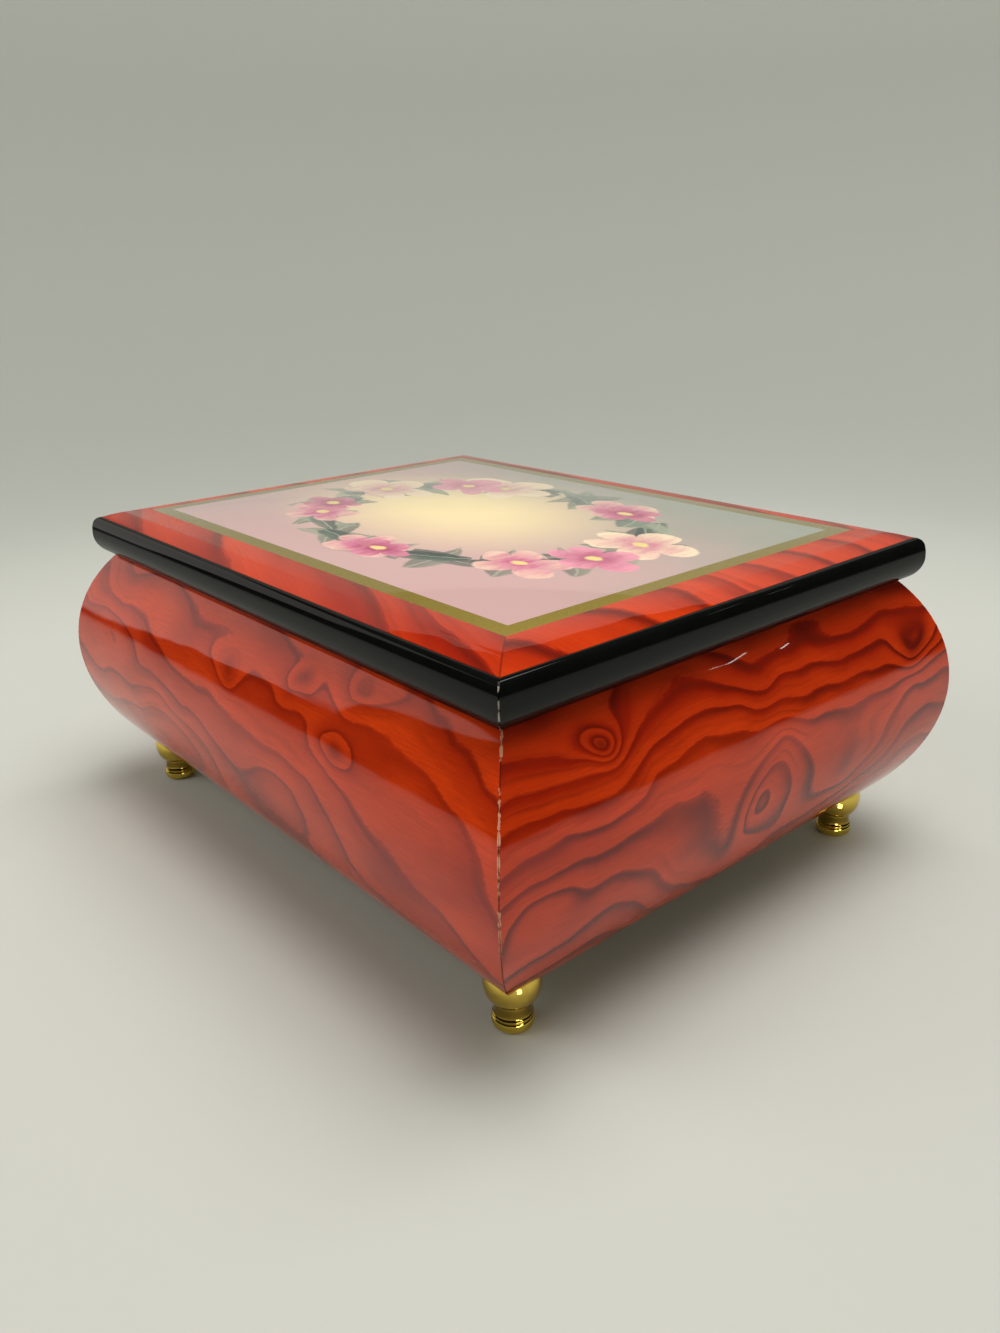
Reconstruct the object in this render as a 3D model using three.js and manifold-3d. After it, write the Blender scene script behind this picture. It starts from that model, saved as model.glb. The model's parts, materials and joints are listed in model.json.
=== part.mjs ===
// Jewelry music box: a lacquered case of four mitred convex panels on turned brass feet, a framed lid on two
// butt hinges, a lined well with ring rolls, and a wind-up comb movement under a clear cover.
// Millimetres, +Z up. The origin is on the floor under the middle of the case, and the front faces -Y.
import * as THREE from "three";
import { mergeVertices } from "three/addons/utils/BufferGeometryUtils.js";
import Module from "manifold-3d";

const wasm = await Module();
wasm.setup();

// Fits
const seatGap = 0.2; // glued or resting faces
const mitreGap = 0.15; // each side of a mitre
const moveGap = 0.3; // faces that pass each other
const runGap = 0.1; // radial play of a shaft in its bearing
const cutPast = 1; // how far a cutting tool runs past the face it cuts

// Case
const rimLength = 147; // outline of the case's top edge, along X
const rimDepth = 112.4; // and along Y
const rimWidth = 6; // flat top edge of a panel
const caseHeight = 49.5;
const bulge = 9.6; // how far a panel swells past its top edge
const bulgeHeight = 25.1; // widest line, above the case's lower edge
const lowerTuck = 10.27; // how far the lower edge draws in from the widest line
const baseThickness = 4;
const baseRebate = 3.2; // how far the base board reaches into the panels

// Feet
const footHeight = 11.5;
const footInset = 6; // foot axis from the rim outline, both ways
const footBallRadius = 5.35;
const footBallHeight = 9.4; // middle of the ball above the floor
const footNeckRadius = 3; // at its slim top, under the ball
const footFlareRadius = 3.55; // where the neck meets the ring
const footRingRadius = 3.85;
const footRingHeight = 1.4;
const footRingTop = 2.8;
const footSoleRadius = 3.1;
const footStudRadius = 1.4;
const footStudLength = 3;

// Lid
const lidGap = 0.3; // lid underside above the rim
const lidEdgeHeight = 9; // underside to the veneer's outer edge
const lidCrown = 1.8; // rise of the flat middle over that edge
const lidBorder = 9.2; // rounded veneer border around the picture
const lidOverhang = 3.7; // moulding nose past the rim outline
const veneerOverhang = 1.6; // veneer edge past the rim outline
const mouldingInner = 4; // moulding's inner face inside the rim outline
const mouldingRebate = 5; // height of the moulding under the lid panel
const mouldingNose = 4.7; // widest line of the nose above the underside
const pictureThickness = 0.6;
const lidLiningThickness = 4.6;
const lidLiningCrown = 1.6;
const lidLiningRoll = 9; // width of the pad's rolled edge

// Hinges
const hingeSpacing = 90; // between the middles of the two hinges
const hingeLength = 26;
const hingeLeafThickness = 1;
const hingeKnuckleRadius = 2;
const hingePinRadius = 0.8;
const hingeMiddleKnuckle = 12.4;
const hingeAxisBack = 4.2; // axis behind the rim outline
const hingeAxisRise = 0.2; // axis above the rim
const hingeLidLeafInset = 3.4; // front edge of the lid leaf inside the rim outline
const hingeCaseLeafInset = 5; // front edge of the case leaf inside the rim outline
const hingeScrewInset = 3.6; // screw from the leaf's end
const hingeScrewBack = 2.4; // screw behind the leaf's front edge
const hingeScrewRadius = 0.7;
const hingeSinkRadius = 1.5; // countersink at the leaf's face

// Lined inside
const liningThickness = 1.8;
const liningBelowRim = 0.8;
const floorLiningThickness = 1.5;
const dividerThickness = 3;
const dividerBelowRim = 4;
const ringRollWidth = 11.2;
const ringRollHeight = 20.5;
const ringRollCount = 4;
const ringRollEndRound = 2.2; // length of a roll's rounded end
const ringRollEndSwell = 1.1; // how far the end draws in
const coverThickness = 2;
const coverBelowRim = 6;
const cleatSize = 4;

// Musical movement, in its own frame: X across the cylinder, Y along it, Z up from the bedplate's underside
const movementBack = 2; // movement origin behind the case's middle
const movementBayClear = 2.2; // bedplate to the lined walls beside it
const bedThickness = 2.5;
const bedMargin = 1.5; // bedplate past what it carries
const bedCornerRadius = 3;
const axleX = -4;
const axleRadius = 1;
const bearingThickness = 1.4;
const bearingHalfWidth = 3;
const slimBearingHalfWidth = 1.8; // outer governor bearing and lever post
const bearingAboveAxle = 3.2;
const bearingEndPlay = 0.8; // drum to bearing
const cylinderRadius = 5.75;
const cylinderStart = -1.2;
const cylinderEndMargin = 0.3; // drum past the first and last track
const pinHeight = 0.5;
const pinWidth = 0.36;
const pinRoot = 0.4; // pin inside the drum
const pinsPerTrack = 5;
const combTeeth = 18;
const combPitch = 1;
const combSlot = 0.28;
const combThickness = 1;
const combBack = 19;
const combBassRoot = 13;
const combTrebleRoot = 9.5;
const combSeatInset = 1; // seat in front of the bass root
const combScrewRadius = 1.1;
const combWeightTeeth = 6; // bass teeth with a weight under the tip
const combWeightLength = 3;
const combWeightDepth = 1.2;
const springHousingRadius = 10.2;
const springHousingHeight = 6.4;
const springHousingWall = 0.8;
const springTurns = 4.5;
const springStrip = 0.45;
const springHookGap = 0.6; // innermost turn to the housing's bore
const arborRadius = 1.75;
const crownTeeth = 30;
const crownPitchRadius = 9;
const crownFace = 2.6; // radial width of the crown's toothed band
const crownDisc = 1.2;
const pinionTeeth = 10;
const driveAddendum = 0.5; // tooth past the pitch line
const driveDedendum = 0.65; // tooth root inside it
const wheelTeeth = 40;
const wheelRadius = 6.2;
const wheelThickness = 1.2;
const wheelEndPlay = 0.5;
const governorPinionTeeth = 10;
const governorShaftRadius = 0.7;
const trainAddendum = 0.4;
const trainDedendum = 0.45;
const trainPlay = 0.1; // extra centre distance
const wormWheelTeeth = 24;
const wormWheelRadius = 4.3;
const wormWheelDepth = 0.6;
const wormRadius = 1.15;
const wormLength = 6.4;
const wormPlay = 0.2;
const fanPivotRadius = 0.5;
const fanRadius = 3.2;
const fanHeight = 4;
const fanBladeThickness = 0.6;
const bracketWidth = 3.6;
const bracketThickness = 1.2;
const bracketFootLength = 6.8;
const leverWireRadius = 0.6;
const leverHubRadius = 1.7;
const leverHubWidth = 3;
const leverPinRadius = 0.5;
const leverArm = 8;
const leverTipReach = 10; // tip behind the pivot
const leverBrakeLap = 1.2; // short arm over the fan's blades
const leverFromFan = 1.4; // lever beside the fan's axis

// Winding key
const keyWidth = 19;
const keyThickness = 1.6;
const keyFloorGap = 1.2;
const keyCaseGap = 1;
const keyHubRadius = 2.6;
const keySocketDepth = 5;
const keyWaist = 0.4; // how far the wings draw in, as a share of a lobe

// Tooth widths as shares of the pitch, at the root and at the tip
const toothShare = [0.5, 0.24];
const slimToothShare = [0.5, 0.2];

// Levels and half sizes that follow from the sizes above
const caseBottom = footHeight;
const rimZ = caseBottom + caseHeight;
const bulgeZ = caseBottom + bulgeHeight;
const rimX = rimLength / 2;
const rimY = rimDepth / 2;
const insideX = rimX - rimWidth;
const insideY = rimY - rimWidth;
const baseTop = caseBottom + baseThickness;
const footX = rimX - footInset;
const footY = rimY - footInset;
const lidZ = rimZ + lidGap;
const rebateZ = lidZ + mouldingRebate;
const veneerZ = lidZ + lidEdgeHeight;
const lidTop = veneerZ + lidCrown;
const hingeAxisY = rimY + hingeAxisBack;
const hingeAxisZ = rimZ + hingeAxisRise;
const linedX = insideX - seatGap - liningThickness;
const linedY = insideY - seatGap - liningThickness;
const liningEndX = linedX - seatGap;
const liningEndY = linedY - seatGap;
const liningTop = rimZ - liningBelowRim;
const wellFloor = baseTop + floorLiningThickness;
const coverTop = rimZ - coverBelowRim;
const coverFloor = coverTop - coverThickness;

// Places in the movement
const frontBearingY = cylinderStart - bearingEndPlay - bearingThickness;
const cylinderEnd = cylinderStart + combTeeth * combPitch + 2 * cylinderEndMargin;
const backBearingY = cylinderEnd + bearingEndPlay;
const crownRim = crownPitchRadius + crownFace / 2;
const springX = axleX;
const springY = frontBearingY - moveGap - Math.max(springHousingRadius, crownRim);
const springFloor = bedThickness + seatGap;
const springTop = springFloor + springHousingHeight;
const crownFloor = springTop + seatGap;
const crownTop = crownFloor + crownDisc;
const crownPitchZ = crownTop + driveDedendum + runGap;
const pinionRadius = (crownPitchRadius * pinionTeeth) / crownTeeth;
const axleZ = crownPitchZ + pinionRadius;
const wheelY = backBearingY + bearingThickness + wheelEndPlay;
const governorPinionRadius = (wheelRadius * governorPinionTeeth) / wheelTeeth;
const governorX = axleX - wheelRadius - governorPinionRadius - trainPlay;
const wormWheelY = wheelY + wheelThickness + wheelEndPlay;
const outerBearingY = wormWheelY + wheelThickness + wheelEndPlay + runGap;
const fanX = governorX - wormWheelRadius - wormRadius - wormPlay;
const fanY = wormWheelY + wheelThickness / 2;
const fanFloor = axleZ + wormWheelRadius + runGap;
const fanTop = fanFloor + fanHeight;
const bracketY = fanY + fanRadius + moveGap;
const leverX = fanX + leverFromFan;
const leverY = fanY - fanRadius + leverBrakeLap - leverArm;
const leverZ = fanTop + moveGap + leverWireRadius;
const combStart = cylinderStart + cylinderEndMargin;
const combEnd = combStart + combTeeth * combPitch - combSlot;
const combZ = axleZ - combThickness / 2;
const combTip = axleX + cylinderRadius + pinHeight + moveGap;
const bedLeft = fanX - fanRadius;
const bedRight = combBack + bedMargin;
const bedFront = springY - springHousingRadius - bedMargin;
const bedBack = bracketY + 2 * bracketThickness + bedMargin;

// Where the movement stands in the case
const dividerLeft = -linedX + bedRight - bedLeft + 2 * movementBayClear;
const dividerRight = dividerLeft + dividerThickness;
const movementX = -linedX + movementBayClear - bedLeft;
const movementZ = baseTop + seatGap;
const keyX = movementX + springX;
const keyY = movementBack + springY;
const leverTipZ = lidZ - movementZ - moveGap - leverWireRadius;

// Finishes
const redVeneer = { color: 0xb5331a, roughness: 0.15, metalness: 0 };
const blackLacquer = { color: 0x0b0b0c, roughness: 0.12, metalness: 0 };
const printedPaper = { color: 0xd9c3a6, roughness: 0.2, metalness: 0 };
const brass = { color: 0xc9a227, roughness: 0.18, metalness: 1 };
const velvet = { color: 0x5a0f1c, roughness: 0.95, metalness: 0 };
const plywood = { color: 0x9a7a52, roughness: 0.7, metalness: 0 };
const clearAcrylic = { color: 0xdfe8ea, roughness: 0.05, metalness: 0 };
const steel = { color: 0xb8bcc0, roughness: 0.3, metalness: 1 };
const castZinc = { color: 0x9c9a92, roughness: 0.45, metalness: 1 };

const box = new THREE.Group();
const movement = new THREE.Group();
movement.position.set(movementX, movementBack, movementZ);
box.add(movement);

function addPiece(group, name, geometry, finish) {
  const mesh = new THREE.Mesh(geometry, new THREE.MeshStandardMaterial(finish));
  mesh.name = name;
  group.add(mesh);
}

// Joins and cuts of closed geometry
function solidOf(geometry) {
  const bare = geometry.index ? geometry.toNonIndexed() : geometry.clone();
  bare.deleteAttribute("normal");
  bare.deleteAttribute("uv");
  const merged = mergeVertices(bare, 1e-4);
  const triVerts = new Uint32Array(merged.index.array);
  const vertProperties = merged.attributes.position.array;
  return new wasm.Manifold(new wasm.Mesh({ numProp: 3, vertProperties, triVerts }));
}

function geometryOf(solid) {
  const mesh = solid.getMesh();
  const geometry = new THREE.BufferGeometry();
  geometry.setAttribute("position", new THREE.BufferAttribute(new Float32Array(mesh.vertProperties), 3));
  geometry.setIndex(new THREE.BufferAttribute(new Uint32Array(mesh.triVerts), 1));
  geometry.computeVertexNormals();
  return geometry;
}

function join(first, ...others) {
  return geometryOf(others.reduce((whole, other) => whole.add(solidOf(other)), solidOf(first)));
}

function cut(first, ...tools) {
  return geometryOf(tools.reduce((left, tool) => left.subtract(solidOf(tool)), solidOf(first)));
}

function common(first, second) {
  return geometryOf(solidOf(first).intersect(solidOf(second)));
}

// Basic forms
function block(x0, x1, y0, y1, z0, z1) {
  const geometry = new THREE.BoxGeometry(x1 - x0, y1 - y0, z1 - z0);
  return geometry.translate((x0 + x1) / 2, (y0 + y1) / 2, (z0 + z1) / 2);
}

function rod(radius, z0, z1, facets = 16, topRadius = radius) {
  const geometry = new THREE.CylinderGeometry(topRadius, radius, z1 - z0, facets);
  return geometry.rotateX(Math.PI / 2).translate(0, 0, (z0 + z1) / 2);
}

function rodAlongX(radius, x0, x1, facets = 16) {
  return rod(radius, x0, x1, facets).rotateY(Math.PI / 2);
}

function rodAlongY(radius, y0, y1, facets = 16) {
  return rod(radius, -y1, -y0, facets).rotateX(Math.PI / 2);
}

// A turned piece, from pairs of radius and height
function turned(pairs, facets) {
  const points = pairs.map(([radius, height]) => new THREE.Vector2(radius, height));
  return new THREE.LatheGeometry(points, facets).rotateX(Math.PI / 2);
}

function outline(...points) {
  return new THREE.Shape(points.map(([x, y]) => new THREE.Vector2(x, y)));
}

function prism(shape, z0, z1, curveSegments = 12) {
  const options = { depth: z1 - z0, bevelEnabled: false, curveSegments };
  return new THREE.ExtrudeGeometry(shape, options).translate(0, 0, z0);
}

const towardsX = new THREE.Matrix4().set(0, 0, 1, 0, 1, 0, 0, 0, 0, 1, 0, 0, 0, 0, 0, 1);
const towardsY = new THREE.Matrix4().set(1, 0, 0, 0, 0, 0, -1, 0, 0, 1, 0, 0, 0, 0, 0, 1);

// A shape drawn in Y and Z, run along X
function runAlongX(shape, x0, x1, curveSegments = 12) {
  return prism(shape, x0, x1, curveSegments).applyMatrix4(towardsX);
}

// A shape drawn in X and Z, run along Y
function runAlongY(shape, y0, y1, curveSegments = 12) {
  return prism(shape, -y1, -y0, curveSegments).applyMatrix4(towardsY);
}

function roundedRectangle(x0, x1, y0, y1, radius) {
  const shape = new THREE.Shape();
  shape.absarc(x1 - radius, y1 - radius, radius, 0, Math.PI / 2, false);
  shape.absarc(x0 + radius, y1 - radius, radius, Math.PI / 2, Math.PI, false);
  shape.absarc(x0 + radius, y0 + radius, radius, Math.PI, 1.5 * Math.PI, false);
  shape.absarc(x1 - radius, y0 + radius, radius, 1.5 * Math.PI, 2 * Math.PI, false);
  return shape;
}

// One side of a mitred frame. The section is drawn in distance out from the rim outline and in height; each
// end runs out as far as the section does, which makes the mitre. The side made is the one that faces -Y.
function mitredSide(section, halfRun, halfAcross, curveSegments) {
  const geometry = prism(section, 0, 1, curveSegments);
  const place = geometry.attributes.position;
  for (let i = 0; i < place.count; i++) {
    const out = place.getX(i);
    const height = place.getY(i);
    const end = place.getZ(i) < 0.5 ? 1 : -1;
    place.setXYZ(i, end * (halfRun + out - mitreGap), -(halfAcross + out), height);
  }
  return geometry;
}

const sides = [
  { name: "front", turn: 0, run: rimX, across: rimY },
  { name: "right", turn: Math.PI / 2, run: rimY, across: rimX },
  { name: "back", turn: Math.PI, run: rimX, across: rimY },
  { name: "left", turn: -Math.PI / 2, run: rimY, across: rimX },
];
const corners = [
  { name: "front_left", x: -footX, y: -footY },
  { name: "front_right", x: footX, y: -footY },
  { name: "back_left", x: -footX, y: footY },
  { name: "back_right", x: footX, y: footY },
];

// Case panels: two arcs outside that meet at the widest line, flat inside, with a rebate for the base board
function panelSection() {
  const rise = rimZ - bulgeZ;
  const upperRadius = (rise * rise + bulge * bulge) / (2 * bulge);
  const lowerRadius = (bulgeHeight * bulgeHeight + lowerTuck * lowerTuck) / (2 * lowerTuck);
  const upperSweep = Math.asin(rise / upperRadius);
  const lowerSweep = Math.asin(bulgeHeight / lowerRadius);
  const section = new THREE.Shape();
  section.moveTo(-rimWidth, rimZ);
  section.lineTo(-rimWidth, baseTop);
  section.lineTo(-rimWidth + baseRebate, baseTop);
  section.lineTo(-rimWidth + baseRebate, caseBottom);
  section.absarc(bulge - lowerRadius, bulgeZ, lowerRadius, -lowerSweep, 0, false);
  section.absarc(bulge - upperRadius, bulgeZ, upperRadius, 0, upperSweep, false);
  return section;
}

function addCasePanels() {
  const arcSteps = 10;
  for (const side of sides) {
    let panel = mitredSide(panelSection(), side.run, side.across, arcSteps).rotateZ(side.turn);
    if (side.name === "back") panel = cut(panel, ...hingeCentres.map(caseHingePocket));
    addPiece(box, `${side.name}_panel`, panel, redVeneer);
  }
}

function addBaseBoard() {
  const halfX = insideX + baseRebate - seatGap;
  const halfY = insideY + baseRebate - seatGap;
  const board = block(-halfX, halfX, -halfY, halfY, caseBottom, baseTop - seatGap);
  const drill = (radius, x, y) => rod(radius, caseBottom - cutPast, baseTop + cutPast).translate(x, y, 0);
  const studHoles = corners.map((corner) => drill(footStudRadius + seatGap, corner.x, corner.y));
  const arborHole = drill(arborRadius + 2 * moveGap, keyX, keyY);
  addPiece(box, "base_board", cut(board, ...studHoles, arborHole), plywood);
}

// Turned feet: a ring, a flaring neck, a ball and the stud that screws into the base board
function addFeet() {
  const seat = caseBottom - seatGap;
  const ballFrom = -Math.acos(footNeckRadius / footBallRadius);
  const ballTo = Math.asin((seat - footBallHeight) / footBallRadius);
  const arcSteps = 7;
  const ball = Array.from({ length: arcSteps + 1 }, (_, step) => {
    const angle = ballFrom + ((ballTo - ballFrom) * step) / arcSteps;
    return [footBallRadius * Math.cos(angle), footBallHeight + footBallRadius * Math.sin(angle)];
  });
  const [, neckTop] = ball[0];
  const profile = [
    [0, 0],
    [footSoleRadius, 0],
    [(footSoleRadius + footRingRadius) / 2, footRingHeight / 3],
    [footRingRadius, footRingHeight],
    [footFlareRadius, footRingTop],
    [(3 * footNeckRadius + footFlareRadius) / 4, (footRingTop + neckTop) / 2],
    ...ball,
    [footStudRadius, seat],
    [footStudRadius, seat + footStudLength],
    [0, seat + footStudLength],
  ];
  for (const corner of corners) {
    addPiece(box, `foot_${corner.name}`, turned(profile, 20).translate(corner.x, corner.y, 0), brass);
  }
}

// Lid mouldings: a bull nose outside, a rebate inside that takes the lid panel
function mouldingSection() {
  const noseZ = lidZ + mouldingNose;
  const under = 0.6 * lidOverhang;
  const shoulder = 0.85 * lidOverhang;
  const section = new THREE.Shape();
  section.moveTo(-mouldingInner, rebateZ);
  section.lineTo(-mouldingInner, lidZ);
  section.lineTo(0, lidZ);
  section.bezierCurveTo(under, lidZ + seatGap, lidOverhang, noseZ - mouldingNose / 2, lidOverhang, noseZ);
  section.bezierCurveTo(lidOverhang, (noseZ + 2 * veneerZ) / 3, shoulder, veneerZ, veneerOverhang, veneerZ);
  section.lineTo(veneerOverhang, rebateZ);
  return section;
}

function addLidMouldings() {
  const noseSteps = 7;
  for (const side of sides) {
    let moulding = mitredSide(mouldingSection(), side.run, side.across, noseSteps).rotateZ(side.turn);
    if (side.name === "back") moulding = cut(moulding, ...hingeCentres.map(lidHingePocket));
    addPiece(box, `lid_moulding_${side.name}`, moulding, blackLacquer);
  }
}

// A slab's section, flat in the middle, whose edges roll off along an arc. A negative drop rolls them upward.
function rolledSection(edge, roll, flatZ, drop, backZ) {
  const flat = edge - roll;
  const radius = (roll * roll + drop * drop) / (2 * Math.abs(drop));
  const sweep = Math.asin(roll / radius);
  const up = Math.sign(drop);
  const middleZ = flatZ - up * radius;
  const top = (up * Math.PI) / 2;
  const section = new THREE.Shape();
  section.moveTo(-edge, backZ);
  section.lineTo(edge, backZ);
  section.absarc(flat, middleZ, radius, top - up * sweep, top, up < 0);
  section.absarc(-flat, middleZ, radius, top, top + up * sweep, up < 0);
  return section;
}

function rolledSlab(edgeX, edgeY, roll, flatZ, drop, backZ) {
  const arcSteps = 6;
  const reach = Math.max(edgeX, edgeY) + cutPast;
  const across = runAlongY(rolledSection(edgeX, roll, flatZ, drop, backZ), -reach, reach, arcSteps);
  const along = runAlongX(rolledSection(edgeY, roll, flatZ, drop, backZ), -reach, reach, arcSteps);
  return common(across, along);
}

// Lid panel with its picture let in, and the padded lining in the frame below it
function addLidPanel() {
  const edgeX = rimX + veneerOverhang - seatGap;
  const edgeY = rimY + veneerOverhang - seatGap;
  const pictureX = edgeX + seatGap - lidBorder;
  const pictureY = edgeY + seatGap - lidBorder;
  const pictureFloor = lidTop - pictureThickness;
  const slab = rolledSlab(edgeX, edgeY, lidBorder - seatGap, lidTop, lidCrown, rebateZ + seatGap);
  const recessFloor = pictureFloor - seatGap;
  const recess = block(-pictureX, pictureX, -pictureY, pictureY, recessFloor, lidTop + cutPast);
  addPiece(box, "lid_panel", cut(slab, recess), redVeneer);

  const sheetX = pictureX - seatGap;
  const sheetY = pictureY - seatGap;
  const sheet = block(-sheetX, sheetX, -sheetY, sheetY, pictureFloor, lidTop);
  addPiece(box, "lid_picture", sheet, printedPaper);

  const padX = rimX - mouldingInner - seatGap;
  const padY = rimY - mouldingInner - seatGap;
  const padFace = rebateZ - lidLiningThickness;
  const pad = rolledSlab(padX, padY, lidLiningRoll, padFace, -lidLiningCrown, rebateZ);
  addPiece(box, "lid_lining", pad, velvet);
}

// Hinges: the case leaf lies in the rim and the lid leaf in the moulding's underside
const hingeCentres = [-hingeSpacing / 2, hingeSpacing / 2];
const caseLeaf = {
  front: rimY - hingeCaseLeafInset,
  bottom: rimZ - hingeLeafThickness,
  top: rimZ,
};
const lidLeaf = {
  front: rimY - hingeLidLeafInset,
  bottom: lidZ + runGap,
  top: lidZ + runGap + hingeLeafThickness,
};

function leafPocket(centre, leaf, bottom, top) {
  const half = hingeLength / 2 + seatGap;
  return block(centre - half, centre + half, leaf.front - seatGap, hingeAxisY, bottom, top);
}

function caseHingePocket(centre) {
  return leafPocket(centre, caseLeaf, caseLeaf.bottom - seatGap, rimZ + cutPast);
}

function lidHingePocket(centre) {
  const half = hingeLength / 2 + seatGap;
  const groove = rodAlongX(hingeKnuckleRadius + moveGap, centre - half, centre + half, 24);
  const slot = leafPocket(centre, lidLeaf, lidZ - cutPast, lidLeaf.top + seatGap);
  return join(slot, groove.translate(0, hingeAxisY, hingeAxisZ));
}

// A leaf: a plate with its knuckles, cleared round the other leaf's, bored for the pin and countersunk
function hingeLeaf(centre, leaf, knuckles, clearings, sunkFromTop) {
  const half = hingeLength / 2;
  const atAxis = (radius, [from, to], facets) =>
    rodAlongX(radius, centre + from, centre + to, facets).translate(0, hingeAxisY, hingeAxisZ);
  const plate = block(centre - half, centre + half, leaf.front, hingeAxisY, leaf.bottom, leaf.top);
  const bite = hingeKnuckleRadius + moveGap;
  const trimmed = cut(plate, ...clearings.map((clearing) => atAxis(bite, clearing, 24)));
  const barrels = knuckles.map((knuckle) => atAxis(hingeKnuckleRadius, knuckle, 20));
  const bore = atAxis(hingePinRadius + runGap, [-half - cutPast, half + cutPast], 16);
  const lowRadius = sunkFromTop ? hingeScrewRadius : hingeSinkRadius;
  const highRadius = sunkFromTop ? hingeSinkRadius : hingeScrewRadius;
  const screwHoles = [-1, 1].map((end) => {
    const hole = rod(lowRadius, leaf.bottom - runGap, leaf.top + runGap, 12, highRadius);
    return hole.translate(centre + end * (half - hingeScrewInset), leaf.front + hingeScrewBack, 0);
  });
  return cut(join(trimmed, ...barrels), bore, ...screwHoles);
}

function addHinges() {
  const half = hingeLength / 2;
  const middle = hingeMiddleKnuckle / 2;
  const middleKnuckle = [-middle, middle];
  const middleClearing = [-middle - moveGap, middle + moveGap];
  const outerKnuckles = [
    [-half, -middle - moveGap],
    [middle + moveGap, half],
  ];
  const outerClearings = [
    [-half - cutPast, -middle],
    [middle, half + cutPast],
  ];
  for (const centre of hingeCentres) {
    const name = centre < 0 ? "left_hinge" : "right_hinge";
    const pin = rodAlongX(hingePinRadius, centre - half - moveGap, centre + half + moveGap);
    const lower = hingeLeaf(centre, caseLeaf, outerKnuckles, [middleClearing], true);
    const upper = hingeLeaf(centre, lidLeaf, [middleKnuckle], outerClearings, false);
    addPiece(box, `${name}_case_leaf`, lower, brass);
    addPiece(box, `${name}_lid_leaf`, upper, brass);
    addPiece(box, `${name}_pin`, pin.translate(0, hingeAxisY, hingeAxisZ), brass);
  }
}

// Lined walls, the divider and the floor of the well
function addLinings() {
  const outerX = insideX - seatGap;
  const outerY = insideY - seatGap;
  const dividerTop = rimZ - dividerBelowRim;
  const boards = {
    lining_left: block(-outerX, -linedX, -outerY, outerY, baseTop, liningTop),
    lining_right: block(linedX, outerX, -outerY, outerY, baseTop, liningTop),
    lining_front: block(-liningEndX, liningEndX, -outerY, -linedY, baseTop, liningTop),
    lining_back: block(-liningEndX, liningEndX, linedY, outerY, baseTop, liningTop),
    divider: block(dividerLeft, dividerRight, -liningEndY, liningEndY, baseTop, dividerTop),
    floor_lining: block(dividerRight + seatGap, liningEndX, -liningEndY, liningEndY, baseTop, wellFloor),
  };
  for (const [name, geometry] of Object.entries(boards)) addPiece(box, name, geometry, velvet);
}

// Ring rolls: foam pads with a round top and drawn-in ends, side by side at the back of the well
function addRingRolls() {
  const foot = wellFloor + moveGap;
  const half = (ringRollWidth - moveGap) / 2;
  const slim = half - ringRollEndSwell;
  const section = new THREE.Shape();
  section.moveTo(-slim, foot + ringRollEndSwell);
  section.lineTo(slim, foot + ringRollEndSwell);
  section.absarc(0, foot + ringRollHeight - half, slim, 0, Math.PI, false);
  const from = dividerRight + moveGap + ringRollEndRound;
  const to = linedX - moveGap - ringRollEndRound;
  const options = {
    depth: to - from,
    curveSegments: 10,
    bevelThickness: ringRollEndRound,
    bevelSize: ringRollEndSwell,
    bevelSegments: 3,
  };
  for (let index = 0; index < ringRollCount; index++) {
    const middle = linedY - moveGap - ringRollWidth * (index + 0.5);
    const roll = new THREE.ExtrudeGeometry(section, options).applyMatrix4(towardsX);
    addPiece(box, `ring_roll_${index + 1}`, roll.translate(from, middle, 0), velvet);
  }
}

// Clear cover over the movement, resting on two cleats, with a slot for the stop lever
function addMovementCover() {
  const cleatsFrom = { left: -linedX + seatGap, right: dividerLeft - seatGap - cleatSize };
  for (const [name, x] of Object.entries(cleatsFrom)) {
    const cleat = block(x, x + cleatSize, -liningEndY, liningEndY, coverFloor - cleatSize, coverFloor);
    addPiece(box, `cover_cleat_${name}`, cleat, velvet);
  }
  const left = -linedX + moveGap;
  const right = dividerLeft - moveGap;
  const end = linedY - moveGap;
  const sheet = block(left, right, -end, end, coverFloor + seatGap, coverTop + seatGap);
  const slotX = movementX + leverX;
  const slotHalf = 3 * leverWireRadius;
  const slotFrom = movementBack + leverY + leverTipReach / 4;
  const slotTo = movementBack + leverY + leverTipReach;
  const slotLow = coverFloor - cutPast;
  const slot = block(slotX - slotHalf, slotX + slotHalf, slotFrom, slotTo, slotLow, coverTop + cutPast);
  addPiece(box, "movement_cover", cut(sheet, slot), clearAcrylic);
}

// A toothed outline with straight flanks, whose first tooth points at the given angle
function toothedOutline(teeth, rootRadius, tipRadius, firstTooth, share) {
  const pitch = (2 * Math.PI) / teeth;
  const flanks = [
    [rootRadius, -share[0] / 2],
    [tipRadius, -share[1] / 2],
    [tipRadius, share[1] / 2],
    [rootRadius, share[0] / 2],
  ];
  const points = [];
  for (let tooth = 0; tooth < teeth; tooth++) {
    for (const [radius, offset] of flanks) {
      const angle = firstTooth + (tooth + offset) * pitch;
      points.push([radius * Math.cos(angle), radius * Math.sin(angle)]);
    }
  }
  return outline(...points);
}

function combScrewHoles() {
  const x = (combBassRoot + combBack) / 2;
  const inset = (combEnd - combStart) / 4;
  return [combStart + inset, combEnd - inset].map((y) =>
    rod(combScrewRadius, combZ - 3 * combThickness, axleZ + combThickness, 12).translate(x, y, 0),
  );
}

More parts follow.
